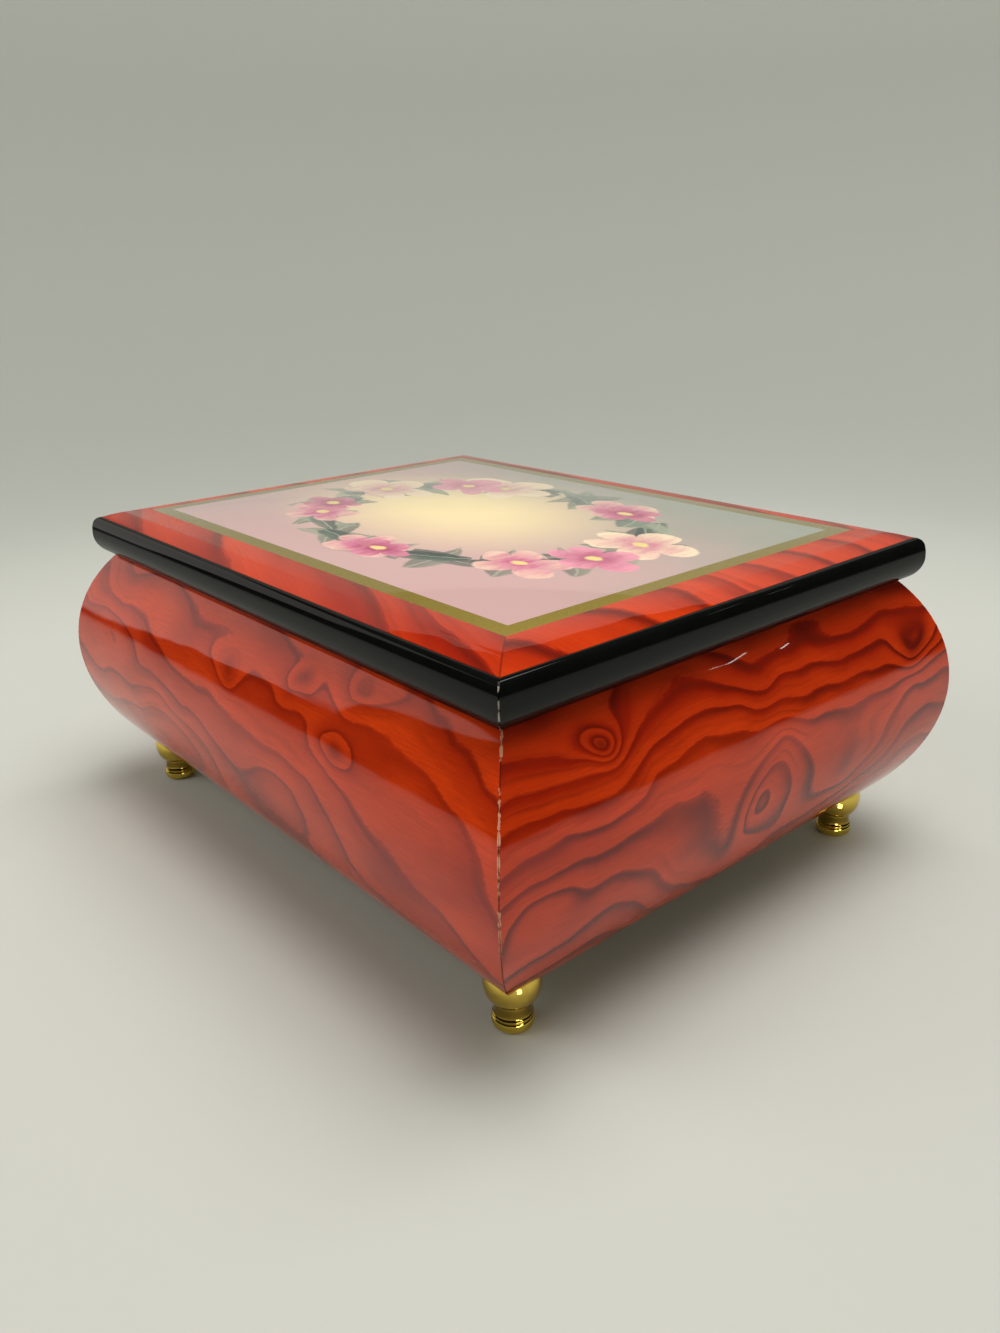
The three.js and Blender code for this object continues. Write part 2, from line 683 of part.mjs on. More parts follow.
// Bedplate: one casting with the comb seat, three bearing posts and the lever's post
function addBedplate() {
  const plateShape = roundedRectangle(bedLeft, bedRight, bedFront, bedBack, bedCornerRadius);
  const root = bedThickness / 2;
  const postTop = axleZ + bearingAboveAxle;
  const half = bearingHalfWidth;
  const slim = slimBearingHalfWidth;
  const deep = bearingThickness;
  const leverPostX = leverX + leverHubWidth / 2 + moveGap;
  const leverPostTop = leverZ + leverHubRadius;
  const posts = [
    block(combBassRoot - combSeatInset, combBack, cylinderStart, cylinderEnd, root, combZ - runGap),
    block(axleX - half, axleX + half, frontBearingY, frontBearingY + deep, root, postTop),
    block(governorX - half, axleX + half, backBearingY, backBearingY + deep, root, postTop),
    block(governorX - slim, governorX + slim, outerBearingY, outerBearingY + deep, root, postTop),
    block(leverPostX, leverPostX + deep, leverY - slim, leverY + slim, root, leverPostTop),
  ];
  const reach = bedBack - bedFront;
  const bores = [
    rodAlongY(axleRadius + runGap, -reach, reach).translate(axleX, 0, axleZ),
    rodAlongY(governorShaftRadius + runGap, 0, reach, 12).translate(governorX, 0, axleZ),
    rod(arborRadius + moveGap, -cutPast, bedThickness + cutPast).translate(springX, springY, 0),
    rod(fanPivotRadius + runGap, root, bedThickness + cutPast, 10).translate(fanX, fanY, 0),
    rodAlongX(leverPinRadius + runGap, leverX, leverX + reach, 10).translate(0, leverY, leverZ),
  ];
  const casting = join(prism(plateShape, 0, bedThickness, 4), ...posts);
  addPiece(movement, "movement_bedplate", cut(casting, ...bores, ...combScrewHoles()), castZinc);
}

// Comb: tuned steel teeth, long and weighted at the bass end, whose tips stop just short of the pins
function addComb() {
  const points = [[combBack, combStart]];
  const weights = [];
  const weightTip = combTip + pinHeight;
  const weightRoot = weightTip + combWeightLength;
  for (let tooth = 0; tooth < combTeeth; tooth++) {
    const root = combBassRoot + ((combTrebleRoot - combBassRoot) * tooth) / (combTeeth - 1);
    const from = combStart + tooth * combPitch;
    const to = from + combPitch - combSlot;
    if (tooth > 0) points.push([root, from]);
    points.push([combTip, from], [combTip, to]);
    if (tooth < combTeeth - 1) points.push([root, to]);
    if (tooth < combWeightTeeth) {
      weights.push(block(weightTip, weightRoot, from, to, combZ - combWeightDepth, axleZ));
    }
  }
  points.push([combBack, combEnd]);
  const blank = prism(outline(...points), combZ, combZ + combThickness);
  addPiece(movement, "comb", cut(join(blank, ...weights), ...combScrewHoles()), steel);
}

// Cylinder: a drum with one track of pins for each tooth, on an axle with its driving pinion and wheel
function addCylinder() {
  const goldenShare = 0.618;
  const unevenness = 0.3;
  const drum = rodAlongY(cylinderRadius, cylinderStart, cylinderEnd, 28);
  const half = pinWidth / 2;
  const pins = [];
  for (let track = 0; track < combTeeth; track++) {
    const y = combStart + track * combPitch + (combPitch - combSlot) / 2;
    for (let note = 0; note < pinsPerTrack; note++) {
      const beat = (note + unevenness * Math.sin(track + 2 * note)) / pinsPerTrack;
      const angle = 2 * Math.PI * (track * goldenShare + beat);
      const pin = block(-half, half, -half, half, cylinderRadius - pinRoot, cylinderRadius + pinHeight);
      pins.push(pin.rotateY(angle).translate(0, y, 0));
    }
  }
  const drumBore = rodAlongY(axleRadius + runGap, cylinderStart - cutPast, cylinderEnd + cutPast);
  const cylinder = cut(join(drum, ...pins), drumBore).translate(axleX, 0, axleZ);
  addPiece(movement, "cylinder", cylinder, brass);

  const pinionFrom = springY + crownPitchRadius - crownFace / 2;
  const pinionTo = Math.min(pinionFrom + crownFace, frontBearingY - moveGap);
  const gapDown = -Math.PI / 2 + Math.PI / pinionTeeth;
  const pinionRoot = pinionRadius - driveDedendum;
  const pinionTip = pinionRadius + driveAddendum;
  const pinionShape = toothedOutline(pinionTeeth, pinionRoot, pinionTip, gapDown, toothShare);
  const axle = rodAlongY(axleRadius, pinionFrom - moveGap, wheelY + wheelThickness + moveGap);
  const driven = join(axle, runAlongY(pinionShape, pinionFrom, pinionTo)).translate(axleX, 0, axleZ);
  addPiece(movement, "cylinder_axle", driven, steel);

  const wheelRoot = wheelRadius - trainDedendum;
  const wheelTip = wheelRadius + trainAddendum;
  const wheelShape = toothedOutline(wheelTeeth, wheelRoot, wheelTip, 0, toothShare);
  const wheelBore = rodAlongY(axleRadius + runGap, wheelY - cutPast, wheelY + wheelThickness + cutPast);
  const wheel = cut(runAlongY(wheelShape, wheelY, wheelY + wheelThickness), wheelBore);
  addPiece(movement, "cylinder_wheel", wheel.translate(axleX, 0, axleZ), brass);
}

// Mainspring in its housing, and the crown wheel over it
function addSpringDrive() {
  const inner = springHousingRadius - springHousingWall;
  const bore = arborRadius + moveGap;
  const cupFloor = springFloor + springHousingWall;
  const cup = [
    [bore, springFloor],
    [springHousingRadius, springFloor],
    [springHousingRadius, springTop],
    [inner, springTop],
    [inner, cupFloor],
    [bore, cupFloor],
    [bore, springFloor],
  ];
  addPiece(movement, "spring_housing", turned(cup, 32).translate(springX, springY, 0), castZinc);

  const stepsPerTurn = 16;
  const steps = Math.round(springTurns * stepsPerTurn);
  const innermost = bore + springHookGap;
  const outermost = inner - springStrip;
  const spiral = (offset) =>
    Array.from({ length: steps + 1 }, (_, step) => {
      const radius = innermost + ((outermost - innermost) * step) / steps + offset;
      const angle = (2 * Math.PI * step) / stepsPerTurn;
      return [radius * Math.cos(angle), radius * Math.sin(angle)];
    });
  const strip = outline(...spiral(springStrip / 2), ...spiral(-springStrip / 2).reverse());
  const spring = prism(strip, cupFloor + seatGap, springTop - seatGap);
  addPiece(movement, "mainspring", spring.translate(springX, springY, 0), steel);

  const disc = [
    [bore, crownFloor],
    [crownRim, crownFloor],
    [crownRim, crownTop],
    [bore, crownTop],
    [bore, crownFloor],
  ];
  const pitch = (2 * Math.PI * crownPitchRadius) / crownTeeth;
  const rootHalf = (toothShare[0] * pitch) / 2;
  const tipHalf = (toothShare[1] * pitch) / 2;
  const rootZ = crownTop - crownDisc / 3;
  const tipZ = crownPitchZ + driveAddendum;
  const toothShape = outline([-rootHalf, rootZ], [rootHalf, rootZ], [tipHalf, tipZ], [-tipHalf, tipZ]);
  const teeth = Array.from({ length: crownTeeth }, (_, tooth) => {
    const bar = runAlongY(toothShape, crownPitchRadius - crownFace / 3, crownRim);
    return bar.rotateZ((tooth * 2 * Math.PI) / crownTeeth);
  });
  const crown = join(turned(disc, 40), ...teeth);
  addPiece(movement, "crown_wheel", crown.translate(springX, springY, 0), brass);
}

// Winding arbor through the base, and the wing key on its lower end
function addWinding() {
  const hubTop = caseBottom - keyCaseGap;
  const arborFoot = hubTop - keySocketDepth;
  const arborTop = movementZ + crownPitchZ + driveAddendum;
  addPiece(box, "winding_arbor", rod(arborRadius, arborFoot, arborTop).translate(keyX, keyY, 0), steel);

  const lobe = (hubTop - keyFloorGap - keyCaseGap) / 2;
  const lobeX = keyWidth / 2 - lobe;
  const lobeZ = keyFloorGap + lobe;
  const wings = new THREE.Shape();
  wings.moveTo(-lobeX, lobeZ - lobe);
  wings.quadraticCurveTo(0, lobeZ - keyWaist * lobe, lobeX, lobeZ - lobe);
  wings.absarc(lobeX, lobeZ, lobe, -Math.PI / 2, Math.PI / 2, false);
  wings.quadraticCurveTo(0, lobeZ + keyWaist * lobe, -lobeX, lobeZ + lobe);
  wings.absarc(-lobeX, lobeZ, lobe, Math.PI / 2, 1.5 * Math.PI, false);
  for (const side of [-1, 1]) {
    const eye = new THREE.Path();
    eye.absarc(side * lobeX, lobeZ, keyWaist * lobe, 0, 2 * Math.PI, true);
    wings.holes.push(eye);
  }
  const plate = runAlongY(wings, -keyThickness / 2, keyThickness / 2, 8);
  const hub = rod(keyHubRadius, keyFloorGap + keyCaseGap, hubTop, 20);
  const socket = rod(arborRadius + runGap, arborFoot - seatGap, hubTop + cutPast);
  addPiece(box, "winding_key", cut(join(plate, hub), socket).translate(keyX, keyY, 0), brass);
}

// Governor: a worm wheel driven by the cylinder wheel turns a two-bladed fan on its upright worm
function addGovernor() {
  const gapTowardsWheel = Math.PI / governorPinionTeeth;
  const rootRadius = governorPinionRadius - trainDedendum;
  const tipRadius = governorPinionRadius + trainAddendum;
  const pinionShape = toothedOutline(
    governorPinionTeeth, rootRadius, tipRadius, gapTowardsWheel, slimToothShare,
  );
  const wormWheelRoot = wormWheelRadius - wormWheelDepth;
  const wormWheelShape = toothedOutline(wormWheelTeeth, wormWheelRoot, wormWheelRadius, 0, toothShare);
  const shaftTo = outerBearingY + bearingThickness - runGap;
  const wheel = join(
    rodAlongY(governorShaftRadius, backBearingY - seatGap, shaftTo, 12),
    runAlongY(pinionShape, wheelY, wheelY + wheelThickness),
    runAlongY(wormWheelShape, wormWheelY, wormWheelY + wheelThickness),
  );
  addPiece(movement, "governor_wheel", wheel.translate(governorX, 0, axleZ), brass);

  const armFloor = fanTop + moveGap;
  const armTop = armFloor + bracketThickness;
  const blade = fanBladeThickness / 2;
  const fan = join(
    rod(fanPivotRadius, bedThickness / 2 + seatGap, armTop, 10),
    rod(wormRadius, axleZ - wormLength / 2, axleZ + wormLength / 2, 12),
    rod(wormRadius, fanFloor, fanTop, 12),
    block(-fanRadius, fanRadius, -blade, blade, fanFloor, fanTop),
  );
  addPiece(movement, "governor_fan", fan.translate(fanX, fanY, 0), steel);

  const left = fanX - bracketWidth / 2;
  const right = fanX + bracketWidth / 2;
  const footZ = bedThickness + seatGap;
  const footTop = footZ + bracketThickness;
  const postBack = bracketY + bracketThickness;
  const bracket = join(
    block(left, right, bracketY, postBack, footZ, armTop),
    block(left, right, fanY - wormRadius, postBack, armFloor, armTop),
    block(left, left + bracketFootLength, bracketY, postBack + bracketThickness, footZ, footTop),
  );
  const pivotBore = rod(fanPivotRadius + runGap, armFloor - cutPast, armTop + cutPast, 10);
  addPiece(movement, "governor_bracket", cut(bracket, pivotBore.translate(fanX, fanY, 0)), steel);
}

// Stop lever: a bent wire on a hub. The closed lid holds its tip down, and its short arm stops the fan.
function addStopLever() {
  const brakeEnd = new THREE.Vector3(0, leverArm, 0);
  const tip = new THREE.Vector3(0, leverTipReach, leverTipZ - leverZ);
  const upright = new THREE.Vector3(0, 0, 1);
  const wireTo = (end) => {
    const turn = new THREE.Quaternion().setFromUnitVectors(upright, end.clone().normalize());
    return rod(leverWireRadius, 0, end.length(), 8).applyQuaternion(turn);
  };
  const half = leverHubWidth / 2;
  const hub = rodAlongX(leverHubRadius, -half, half);
  const knob = new THREE.SphereGeometry(leverWireRadius, 8, 6).translate(tip.x, tip.y, tip.z);
  const bore = rodAlongX(leverPinRadius + runGap, -half - cutPast, half + cutPast, 12);
  const lever = cut(join(hub, wireTo(brakeEnd), wireTo(tip), knob), bore);
  addPiece(movement, "stop_lever", lever.translate(leverX, leverY, leverZ), steel);

  const pinTo = leverX + half + moveGap + bearingThickness;
  const pin = rodAlongX(leverPinRadius, leverX - half - moveGap, pinTo, 10);
  addPiece(movement, "lever_pin", pin.translate(0, leverY, leverZ), steel);
}

addCasePanels();
addBaseBoard();
addFeet();
addLidMouldings();
addLidPanel();
addHinges();
addLinings();
addRingRolls();
addMovementCover();
addBedplate();
addComb();
addCylinder();
addSpringDrive();
addWinding();
addGovernor();
addStopLever();

export default box;
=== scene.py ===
import json
import math

import bmesh
import bpy
from mathutils import Matrix, Vector
from mathutils.geometry import interpolate_bezier

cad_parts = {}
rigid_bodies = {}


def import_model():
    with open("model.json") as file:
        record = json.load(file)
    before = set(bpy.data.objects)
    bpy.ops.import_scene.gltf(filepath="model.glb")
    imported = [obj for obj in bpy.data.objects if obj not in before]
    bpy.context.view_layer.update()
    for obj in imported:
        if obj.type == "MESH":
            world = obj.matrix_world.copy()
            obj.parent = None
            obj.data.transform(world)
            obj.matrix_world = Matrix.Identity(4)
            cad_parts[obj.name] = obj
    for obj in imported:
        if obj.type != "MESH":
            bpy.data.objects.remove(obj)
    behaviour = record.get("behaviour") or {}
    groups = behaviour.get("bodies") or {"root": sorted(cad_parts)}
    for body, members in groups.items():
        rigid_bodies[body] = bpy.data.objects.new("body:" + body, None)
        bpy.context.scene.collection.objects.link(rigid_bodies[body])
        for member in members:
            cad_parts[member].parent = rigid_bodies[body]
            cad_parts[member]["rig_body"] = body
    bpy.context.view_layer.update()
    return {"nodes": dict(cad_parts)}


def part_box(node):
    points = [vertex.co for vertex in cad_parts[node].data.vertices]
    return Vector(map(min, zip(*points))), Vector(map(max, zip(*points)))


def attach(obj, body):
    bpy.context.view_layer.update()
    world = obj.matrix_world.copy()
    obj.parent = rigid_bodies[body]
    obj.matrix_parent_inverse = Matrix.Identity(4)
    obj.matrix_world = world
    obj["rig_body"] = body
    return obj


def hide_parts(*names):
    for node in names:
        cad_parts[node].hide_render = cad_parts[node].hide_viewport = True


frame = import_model()


# Case panels. Four boards with a swelling outer face, covered with red-stained burl veneer under a thick
# clear gloss lacquer. Their ends are mitred and glued, and the lacquer has worn pale along the corners.
mm = 0.001
rim_x, rim_y, rim_z = 73.5 * mm, 56.2 * mm, 61 * mm
rim_width = 6 * mm
case_bottom, base_top, base_rebate = 11.5 * mm, 15.5 * mm, 3.2 * mm
bulge, bulge_z, bulge_radius = 9.6 * mm, 36.6 * mm, 35.808 * mm
mitre_gap = 0.02 * mm
spare_run = 20 * mm  # cut off again by the mitres
eased_edge = 0.12 * mm
arc_steps = 56
sides = {
    "front": (0, rim_x, rim_y),
    "right": (math.pi / 2, rim_y, rim_x),
    "back": (math.pi, rim_x, rim_y),
    "left": (-math.pi / 2, rim_y, rim_x),
}
veneer_leaf = {"front": 0, "right": 0.4, "back": 0.8, "left": 1.2}  # each panel's place on the sheet, m


def lay(tree, kind, inputs=(), **options):
    """Adds a shader node, sets its options, and joins or sets its inputs."""
    made = tree.nodes.new("ShaderNode" + kind)
    for key, value in options.items():
        setattr(made, key, value)
    for key, value in dict(inputs).items():
        if isinstance(value, bpy.types.NodeSocket):
            tree.links.new(value, made.inputs[key])
        else:
            made.inputs[key].default_value = value
    return made


def reckon(tree, operation, *values):
    return lay(tree, "Math", enumerate(values), operation=operation).outputs[0]


def steer(tree, operation, *values):
    made = lay(tree, "VectorMath", enumerate(values), operation=operation)
    return made.outputs["Value" if operation in ("LENGTH", "DOT_PRODUCT") else "Vector"]


def fade(tree, value, start, end):
    """0 before start and 1 past end, with a smooth change between."""
    limits = {"Value": value, "From Min": start, "From Max": end}
    return lay(tree, "MapRange", limits, interpolation_type="SMOOTHSTEP").outputs[0]


def tint(tree, share, under, over):
    return lay(tree, "Mix", {0: share, 6: under, 7: over}, data_type="RGBA").outputs[2]


def speckle(tree, place, scale, detail=2.0, roughness=0.5):
    kinds = {"Vector": place, "Scale": scale, "Detail": detail, "Roughness": roughness}
    return lay(tree, "TexNoise", kinds).outputs[0]


def new_group(name, inputs, outputs):
    group = bpy.data.node_groups.new(name, "ShaderNodeTree")
    for socket, kind in inputs.items():
        group.interface.new_socket(socket, in_out="INPUT", socket_type="NodeSocket" + kind)
    for socket, kind in outputs.items():
        group.interface.new_socket(socket, in_out="OUTPUT", socket_type="NodeSocket" + kind)
    return group, group.nodes.new("NodeGroupInput").outputs, group.nodes.new("NodeGroupOutput").inputs


def new_finish(name, **constants):
    """A material whose shader has the given values, with its node tree."""
    finish = bpy.data.materials.new(name)
    finish.use_nodes = True
    shader = finish.node_tree.nodes["Principled BSDF"]
    for socket, value in constants.items():
        shader.inputs[socket.replace("_", " ")].default_value = value
    return finish, finish.node_tree, shader.inputs


# Knots and eyes of the burl: middle on the veneer sheet, reach along and across in mm, and rings raised
knots = [
    (35.5, 11, 6, 3.5, 1.7), (41, 23, 8, 4, 1.3), (21, 19, 5, 3.5, 1.4), (-5, 15, 7, 4, 1.3),
    (-60, 10, 14, 6, -1.3), (66, 9, 16, 6, -0.5), (20, -5, 15, 7, -1.2), (-30, -8, 22, 9, -1.8),
    (52, -14, 16, 9, 0.45), (-40, 22, 12, 5, -0.8),
    (359.5, 19.7, 5, 3, 1.6), (341, -3, 7, 5, -0.9), (404, -3, 10, 14, -1.3), (399, -4, 4, 7, -0.8),
    (388, -17, 18, 22, 1.15), (408, -18, 22, 20, 1.0),
    (453, 13, 9, 5, 1.3), (428, -8, 14, 8, 0.7), (425, 26, 20, 4, -0.5), (378, 26, 16, 4, -0.5),
    (770, 8, 10, 6, 1.4), (815, -6, 18, 10, -1.5), (845, 14, 7, 5, 1.3), (740, -12, 15, 9, -1.3),
    (790, 20, 14, 5, -0.8),
    (1165, 5, 14, 9, -1.4), (1205, 12, 7, 5, 1.3), (1240, -8, 16, 9, -1.4), (1190, -14, 12, 7, 0.9),
]
rings_up, rings_slanted = 84.0, 24.0  # per metre, up the whole sheet and along the front leaf
burl_figure, asked, given = new_group(
    "burl_figure", {"Vector": "Vector"}, {"Line": "Float", "Shade": "Float", "Fibre": "Float"}
)
sheet = asked["Vector"]
wander = lay(burl_figure, "TexNoise", {"Vector": sheet, "Scale": 55.0, "Detail": 1.5}).outputs[1]
wander = steer(burl_figure, "SUBTRACT", wander, (0.5, 0.5, 0.5))
place = steer(burl_figure, "MULTIPLY_ADD", wander, (0.012, 0.008, 0.0), sheet)
growth = speckle(burl_figure, steer(burl_figure, "MULTIPLY", place, (17.0, 14.0, 1.0)), 1.0, 1.0)
along, climb, _ = lay(burl_figure, "SeparateXYZ", {0: place}).outputs
growth = reckon(burl_figure, "MULTIPLY_ADD", growth, 3.2, reckon(burl_figure, "MULTIPLY", climb, rings_up))
# Which leaf of the sheet: the front panel's, the other panels' or that of the lid's long strips
front_leaf = fade(burl_figure, along, 0.2, 0.19)
past_front = fade(burl_figure, along, 0.2, 0.21)
side_leaf = reckon(burl_figure, "MULTIPLY", past_front, fade(burl_figure, along, 1.45, 1.44))
# Along the upper edge of the side panels the rings crowd closer. A painted shade also darkens the veneer
# there, standing in for the shadow under the lid's overhang.
upper_rings_and_lid_shade = reckon(burl_figure, "MULTIPLY", side_leaf, fade(burl_figure, climb, 4 * mm, 24 * mm))
past_sides = fade(burl_figure, along, 1.44, 1.45)
lid_strip = reckon(burl_figure, "MULTIPLY", past_sides, fade(burl_figure, along, 1.85, 1.84))
slant = reckon(burl_figure, "MULTIPLY", along, front_leaf)
growth = reckon(burl_figure, "MULTIPLY_ADD", slant, rings_slanted, growth)
heart = 0.0
for along, across, reach_along, reach_across, rings in knots:
    offset = steer(burl_figure, "SUBTRACT", place, (along * mm, across * mm, 0.0))
    offset = steer(burl_figure, "MULTIPLY", offset, (1 / (reach_along * mm), 1 / (reach_across * mm), 0.0))
    fall = reckon(burl_figure, "MULTIPLY", steer(burl_figure, "DOT_PRODUCT", offset, offset), -1.0)
    growth = reckon(burl_figure, "MULTIPLY_ADD", reckon(burl_figure, "EXPONENT", fall), rings, growth)
    if rings > 1.2:
        eye = reckon(burl_figure, "EXPONENT", reckon(burl_figure, "MULTIPLY", fall, 6.0))
        heart = reckon(burl_figure, "ADD", heart, eye)
growth = reckon(burl_figure, "MULTIPLY", growth, reckon(burl_figure, "MULTIPLY_ADD", side_leaf, 0.6, 1.0))
growth = reckon(burl_figure, "MULTIPLY_ADD", upper_rings_and_lid_shade, 1.6, growth)
fuzz = speckle(burl_figure, steer(burl_figure, "MULTIPLY", sheet, (560.0, 2300.0, 1.0)), 1.0, 3.0)
growth = reckon(burl_figure, "MULTIPLY_ADD", fuzz, 0.11, growth)
ring = reckon(burl_figure, "FRACT", growth)
cloud_of_lines = speckle(burl_figure, place, 30.0, 1.0)
some = fade(burl_figure, speckle(burl_figure, place, 38.0, 1.0), 0.24, 0.62)
line_start = reckon(burl_figure, "MULTIPLY_ADD", side_leaf, -0.14, 0.66)
line_start = reckon(burl_figure, "MULTIPLY_ADD", front_leaf, 0.12, line_start)
line = fade(burl_figure, ring, line_start, 0.9)
line = reckon(burl_figure, "MULTIPLY", line, fade(burl_figure, ring, 1.0, 0.86))
line = reckon(burl_figure, "MULTIPLY", line, some)
thin = reckon(burl_figure, "FRACT", reckon(burl_figure, "MULTIPLY_ADD", growth, 1.9, cloud_of_lines))
thin = reckon(burl_figure, "MULTIPLY", fade(burl_figure, thin, 0.5, 0.9), fade(burl_figure, thin, 1.0, 0.88))
thin = reckon(burl_figure, "MULTIPLY", thin, reckon(burl_figure, "MULTIPLY_ADD", some, -0.5, 0.45))
line = reckon(burl_figure, "MULTIPLY_ADD", heart, 0.6, reckon(burl_figure, "MAXIMUM", line, thin))
quiet = reckon(burl_figure, "MULTIPLY_ADD", front_leaf, -0.3, 1.0)
line = reckon(burl_figure, "MULTIPLY", reckon(burl_figure, "MINIMUM", line, 1.0), quiet)
burl_figure.links.new(line, given["Line"])
band = fade(burl_figure, ring, 0.15, 0.95)
band = reckon(burl_figure, "MULTIPLY", band, fade(burl_figure, ring, 1.0, 0.94))
cloud = speckle(burl_figure, steer(burl_figure, "MULTIPLY", place, (24.0, 70.0, 1.0)), 1.0, 3.0)
shade = reckon(burl_figure, "MULTIPLY_ADD", band, 0.5, reckon(burl_figure, "MULTIPLY", cloud, 1.2))
# Painted shade: the side panels darken towards the lid, in place of the shadow of its overhang.
shade = reckon(burl_figure, "MULTIPLY_ADD", upper_rings_and_lid_shade, 0.2, shade)
shade = reckon(burl_figure, "MULTIPLY_ADD", lid_strip, 0.3, shade)
burl_figure.links.new(reckon(burl_figure, "SUBTRACT", shade, 0.3), given["Shade"])
streak = speckle(burl_figure, steer(burl_figure, "MULTIPLY", sheet, (160.0, 2600.0, 1.0)), 1.0, 4.0, 0.7)
burl_figure.links.new(fade(burl_figure, streak, 0.3, 0.75), given["Fibre"])

# Worn corners: a broken pale line where two mitred pieces meet
mitre_wear, asked, given = new_group(
    "mitre_wear", {"Vector": "Vector", "Width": "Float"}, {"Wear": "Float", "Seam": "Float"}
)
across = steer(mitre_wear, "SUBTRACT", steer(mitre_wear, "ABSOLUTE", asked["Vector"]), (rim_x, rim_y, 0.0))
parts = lay(mitre_wear, "SeparateXYZ", {0: across}).outputs
gap = reckon(mitre_wear, "ABSOLUTE", reckon(mitre_wear, "SUBTRACT", parts[0], parts[1]))
nicks = speckle(mitre_wear, asked["Vector"], 700.0, 3.0, 0.7)
ragged = reckon(mitre_wear, "MULTIPLY", asked["Width"], fade(mitre_wear, nicks, 0.3, 0.62))
near_corner = reckon(mitre_wear, "LESS_THAN", gap, ragged)
patches = fade(mitre_wear, speckle(mitre_wear, asked["Vector"], 200.0, 4.0, 0.7), 0.44, 0.5)
rubbed = fade(mitre_wear, lay(mitre_wear, "SeparateXYZ", {0: asked["Vector"]}).outputs[2], 26 * mm, 38 * mm)
rubbed = reckon(mitre_wear, "MULTIPLY", patches, rubbed)
mitre_wear.links.new(reckon(mitre_wear, "MULTIPLY", near_corner, rubbed), given["Wear"])
mitre_wear.links.new(fade(mitre_wear, gap, 0.3 * mm, 0.1 * mm), given["Seam"])

veneer, tree, shader = new_finish(
    "red_burl_veneer", Roughness=0.5, Coat_Weight=1.0, Coat_Roughness=0.025, Coat_IOR=1.46,
    Specular_IOR_Level=0.0,
)
on_sheet = lay(tree, "UVMap", uv_map="veneer").outputs[0]
figure = lay(tree, "Group", {0: on_sheet}, node_tree=burl_figure).outputs
colour = tint(tree, figure["Shade"], (0.78, 0.062, 0.006, 1), (0.32, 0.013, 0.002, 1))
colour = tint(tree, figure["Line"], colour, (0.125, 0.008, 0.003, 1))
fibre = reckon(tree, "MULTIPLY", figure["Fibre"], 0.34)
colour = tint(tree, fibre, colour, (0.25, 0.012, 0.003, 1))
place = lay(tree, "TexCoord").outputs["Object"]
corner = lay(tree, "Group", {"Vector": place, "Width": 0.36 * mm}, node_tree=mitre_wear).outputs
below_lid = reckon(tree, "LESS_THAN", lay(tree, "SeparateXYZ", {0: place}).outputs[2], rim_z)
worn = reckon(tree, "MULTIPLY", corner["Wear"], below_lid)
colour = tint(tree, reckon(tree, "MULTIPLY", corner["Seam"], 0.6), colour, (0.10, 0.008, 0.004, 1))
tree.links.new(tint(tree, worn, colour, (0.72, 0.34, 0.22, 1)), shader["Base Color"])
tree.links.new(reckon(tree, "SUBTRACT", 1.0, worn), shader["Coat Weight"])
pores = lay(tree, "Bump", {"Height": figure["Fibre"], "Strength": 0.06, "Distance": 0.1 * mm})
tree.links.new(pores.outputs[0], shader["Normal"])
waves = lay(tree, "Bump", {"Height": speckle(tree, place, 48.0, 1.0), "Strength": 1.0, "Distance": 0.3 * mm})
tree.links.new(waves.outputs[0], shader["Coat Normal"])


def soften(bm, width, angle=30, segments=2):
    """Takes the sharpness off every edge that turns by more than the angle."""
    sharp = [e for e in bm.edges if e.is_manifold and e.calc_face_angle() > math.radians(angle)]
    bmesh.ops.bevel(
        bm, geom=sharp, offset=width, offset_type="OFFSET", segments=segments, profile=0.5, affect="EDGES",
        material=-1, clamp_overlap=True,
    )


def new_piece(name, bm, finish, smooth=35):
    """The finished mesh becomes a piece, smooth up to the given angle."""
    mesh = bpy.data.meshes.new(name)
    bm.to_mesh(mesh)
    bm.free()
    mesh.shade_smooth()
    mesh.set_sharp_from_angle(angle=math.radians(smooth))
    mesh.materials.append(finish)
    piece = bpy.data.objects.new(name, mesh)
    bpy.context.scene.collection.objects.link(piece)
    return piece


def points_of(geom):
    """The vertices among an operator's results."""
    return [v for v in geom if isinstance(v, bmesh.types.BMVert)]


def run_and_mitre(bm, section, half_run, half_across):
    """Runs a section face along X and cuts both ends to 45 degrees."""
    run = bmesh.ops.extrude_face_region(bm, geom=section)["geom"]
    moved = points_of(run)
    bmesh.ops.translate(bm, vec=(-2 * moved[0].co.x, 0, 0), verts=moved)
    for end in (-1, 1):
        outwards = Vector((end, 1, 0)).normalized()
        cut = bmesh.ops.bisect_plane(
            bm, geom=bm.verts[:] + bm.edges[:] + bm.faces[:], clear_outer=True,
            plane_co=(end * (half_run - mitre_gap), -half_across, 0), plane_no=outwards,
        )
        bmesh.ops.holes_fill(bm, edges=[e for e in cut["geom_cut"] if isinstance(e, bmesh.types.BMEdge)])
    bmesh.ops.recalc_face_normals(bm, faces=bm.faces)


def panel_section(bm, half_across, start_x):
    """The swelling outer arc, the flat rim, the flat inside and the rebate for the base board."""
    low = math.asin((bulge_z - case_bottom) / bulge_radius)
    high = math.asin((rim_z - bulge_z) / bulge_radius)
    middle = Vector((start_x, bulge_radius - half_across - bulge, bulge_z))
    foot = bm.verts.new(middle - bulge_radius * Vector((0, math.cos(low), math.sin(low))))
    arc = bmesh.ops.spin(bm, geom=[foot], cent=middle, axis=(-1, 0, 0), angle=low + high, steps=arc_steps)
    corner = points_of(arc["geom_last"])[0]
    inside = [(rim_width, 0), (0, base_top - rim_z), (-base_rebate, 0), (0, case_bottom - base_top)]
    for y, z in inside:
        corner = bmesh.ops.extrude_vert_indiv(bm, verts=[corner])["verts"][0]
        bmesh.ops.translate(bm, vec=(0, y, z), verts=[corner])
    bm.edges.new((corner, foot))
    return bmesh.ops.edgeloop_fill(bm, edges=bm.edges[:])["faces"]


